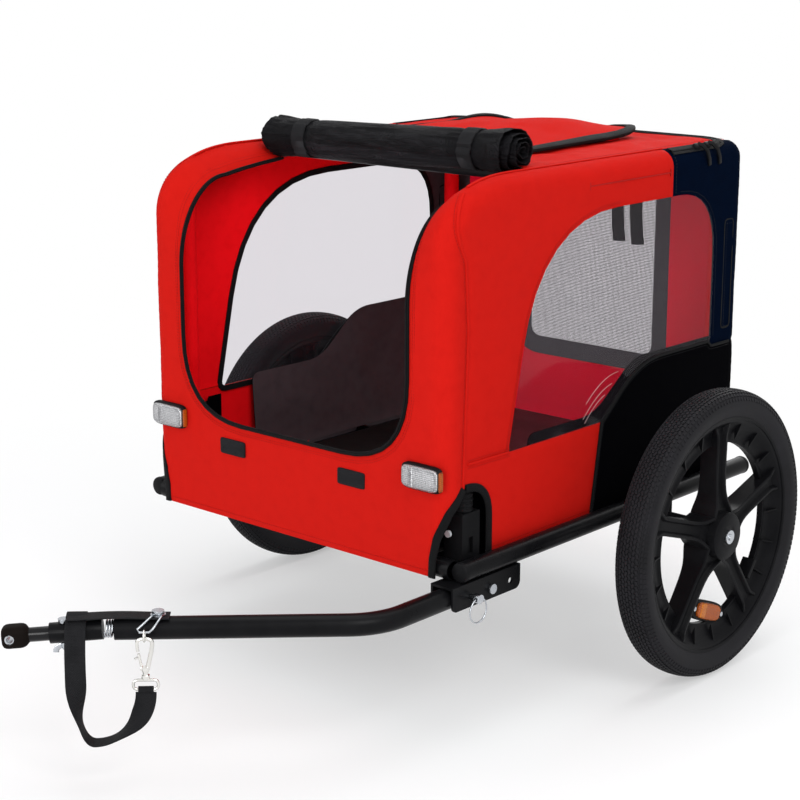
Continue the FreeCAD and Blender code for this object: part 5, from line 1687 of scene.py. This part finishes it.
red_stitch, dark_stitch, welts, dark_welts, sleeve_shade_and_tacks = [], [], [], [], []
front_seam = edge_seam(seam_low, 500, 60)
top_seam = edge_seam(514, blue_from, 60, WRAP - 1)
low_seam = [(-378.0, 355.0), (-297.0, 354.0)]
sleeve_line = [(-138.0, 677.0), (47.0, 677.0)]
hem = [(-336.0, SIDE_HEM + 7), (-118.0, SIDE_HEM + 7)]
slot_line = soften([(190, 438), (212, 438), (212, 596), (190, 596)], [6, 6, 6, 6])
for side in (1, -1):
    lay = side_map(side)
    welts += [band_on(lay, even(front_seam, 6), 4.2, 1.8, -0.4),
              band_on(lay, even(top_seam, 6), 5.0, 2.2, 0.0),
              band_on(lay, even(low_seam, 6), 3.6, 1.6, -0.2)]
    for line, by in ((front_seam, 5), (low_seam, 5), (low_seam, -5), (sleeve_line, 0),
                     (over_window, -5), (over_window, -7.5)):
        red_stitch += stitch_places(lay, shifted(line, by))
    # Painted shade: a darker red band along the sleeve line stands in for the fold's shadow; bar tacks
    # cross its ends.
    sleeve_shade_and_tacks.append(band_on(lay, even(sleeve_line, 6), 1.8, 1.6, 1.2))
    sleeve_shade_and_tacks += [band_on(lay, [(y, 672.0), (y, 677.0), (y, 682.0)], 2.0, 1.6, 1.2) for y in (-138.0, 47.0)]
    red_stitch += stitch_places(lay, hem)
    for line in ([(BLUE_Y + 5, 700.0), (BLUE_Y + 5, 648.0)],
                 [(196.0, 590.0), (196.0, 440.0), (206.0, 440.0)], [(196.0, 590.0), (206.0, 590.0)],
                 shifted(behind_window, -5)):
        dark_stitch += stitch_places(lay, line)
    dark_welts.append(band_on(lay, even(slot_line, 5, True), 2.8, 1.6, 0.0, True))
    dark_stitch += stitch_places(lay, shifted(edge_line, -5))
print("stitches on the sides:", len(red_stitch) + len(dark_stitch))

# %% Patches and the other stitch lines
patches = [pillow(place(x, FRONT - 0.4, 316), X_AXIS, UP, -Y_AXIS, 48, 22, 2.2, 0.18) for x in (110, -110)]
make("patch_tapes", join(*patches), NET, "frame", ["hook_patches"])
for x in (110.0, -110.0):
    low, high = run_at(z=308), run_at(z=324)
    around = [(x - 21, low), (x + 21, low), (x + 21, high), (x - 21, high), (x - 21, low)]
    dark_stitch += stitch_places(over_form, around, 2.2)
for side in (1, -1):
    u = side * (FLAT - 6)
    red_stitch += stitch_places(over_form, [(u, run_at(y=-190)), (u, ROOF_END - 30)])
red_stitch += stitch_places(over_form, [(-240.0, 8.0), (240.0, 8.0)])
for by in (9.0, 12.0):
    red_stitch += stitch_places(over_form, shifted(door_line, by))

# %% Threads and welts
# This red thread also paints the shade line along the sleeves.
RED_THREAD_AND_SHADE = cloth_finish("red_thread_and_seam_shade", (0.26, 0.005, 0.004), (0.40, 0.008, 0.006), 0.6, 2400, shine=0.1)
BLACK_THREAD = cloth_finish("black_thread", (0.004, 0.004, 0.006), (0.012, 0.012, 0.016), 0.5,
                            2400, shine=0.15)
set_out("red_stitches", BEADS, red_stitch, (3.3, 0.8, 0.7), RED_THREAD_AND_SHADE, "frame",
        ["front_panel"])
set_out("black_stitches", BEADS, dark_stitch, (3.3, 0.8, 0.7), BLACK_THREAD, "frame",
        ["wheel_guards"])
make("red_welts", join(*welts), RED, "frame", ["front_panel"])
# The sleeve band below is painted shade in the thread's darker red.
make("sleeve_seam_shade_and_tacks", join(*sleeve_shade_and_tacks), RED_THREAD_AND_SHADE, "frame",
     ["left_side_panel", "right_side_panel"])
make("dark_welts", join(*dark_welts), TAPE, "frame", ["wheel_guards"])
print("stitches:", len(red_stitch), "red,", len(dark_stitch), "black")

# %% [markdown]
# ## Zip
# A black zip closes the rear of the roof. Its tape runs round the rear roof edge from one blue corner to
# the other, and two pulls hang from its sliders over the left edge.

# %% Zip tape and pulls
zip_parts = [band_on(over_form, zip_path, 15.0, 1.6, 0.6), band_on(over_form, zip_path, 5.0, 3.0, 1.0)]
make("zip_tape", join(*zip_parts), TAPE, "frame", ["zip_sliders"])
pulls = []
for y in (124.0, 150.0):
    pulls.append(pillow(place(257, y, 703), Vector((0.8, 0, -0.6)), Y_AXIS, Vector((0.6, 0, 0.8)),
                        9, 15, 6, 0.5))
    path = [place(x, y + on, z) for x, on, z in ((259, 2, 709), (266, 4, 707), (272, 8, 699),
                                                 (273, 12, 688), (272, 15, 679))]
    pulls.append(sweep(path, oval(0.0066, 0.0026, 10, 0.5), X_AXIS))
make("zip_pulls", join(*pulls), PLASTIC, "frame", ["zip_sliders"])
print("zip tape through", len(zip_path), "points")

# %% [markdown]
# ## Kept pieces
# Tubes, brackets and bolts are already right in the construction model. They only need a finish and, on
# their edges, the small round that saws and presses leave, which catches the light.

# %% Finishes for kept nodes
KEPT = {PAINT: ["left_bearings", "right_bearings", "frame_bolts", "front_cross_tube", "axle_cross_tube",
                "rear_cross_tube", "left_side_arch", "right_side_arch", "roof_spreaders", "axle_brackets",
                "hitch_bracket", "tow_bar_tube", "coupling_arm"],
        GLOSS: ["coupling_stem"],
        PLASTIC: ["corner_feet", "leg_collars"],
        BOARD: ["floor_board"],
        ZINC: ["hitch_pivot_bolt", "lock_pin", "lock_pin_ring", "clamp_bolt", "strap_bolt",
               "left_axle", "right_axle", "left_axle_button", "right_axle_button"],
        NICKEL: ["strap_ring"]}
ROUND = {"hitch_bracket": 0.8, "corner_feet": 0.9, "leg_collars": 0.6, "coupling_arm": 0.8,
         "coupling_stem": 0.6, "frame_bolts": 0.7, "hitch_pivot_bolt": 0.7, "strap_bolt": 0.8,
         "clamp_bolt": 0.8, "lock_pin": 0.6, "left_axle": 0.5, "right_axle": 0.5,
         "left_axle_button": 0.5, "right_axle_button": 0.5, "floor_board": 0.8}
for finish, names in KEPT.items():
    for name in names:
        obj = nodes[name]
        obj.data.materials.clear()
        obj.data.materials.append(finish)
        if name in ROUND:
            weld = obj.modifiers.new("weld", "WELD")
            weld.merge_threshold = 1e-5
            edge = obj.modifiers.new("edges", "BEVEL")
            edge.width, edge.segments, edge.limit_method = ROUND[name] * MM, 2, "ANGLE"
            edge.angle_limit = math.radians(40)
            edge.harden_normals = True
print("kept nodes dressed:", sum(len(v) for v in KEPT.values()))

# %% [markdown]
# ## Last update
# The view layer is brought up to date once more.

# %% Last update
bpy.context.view_layer.update()
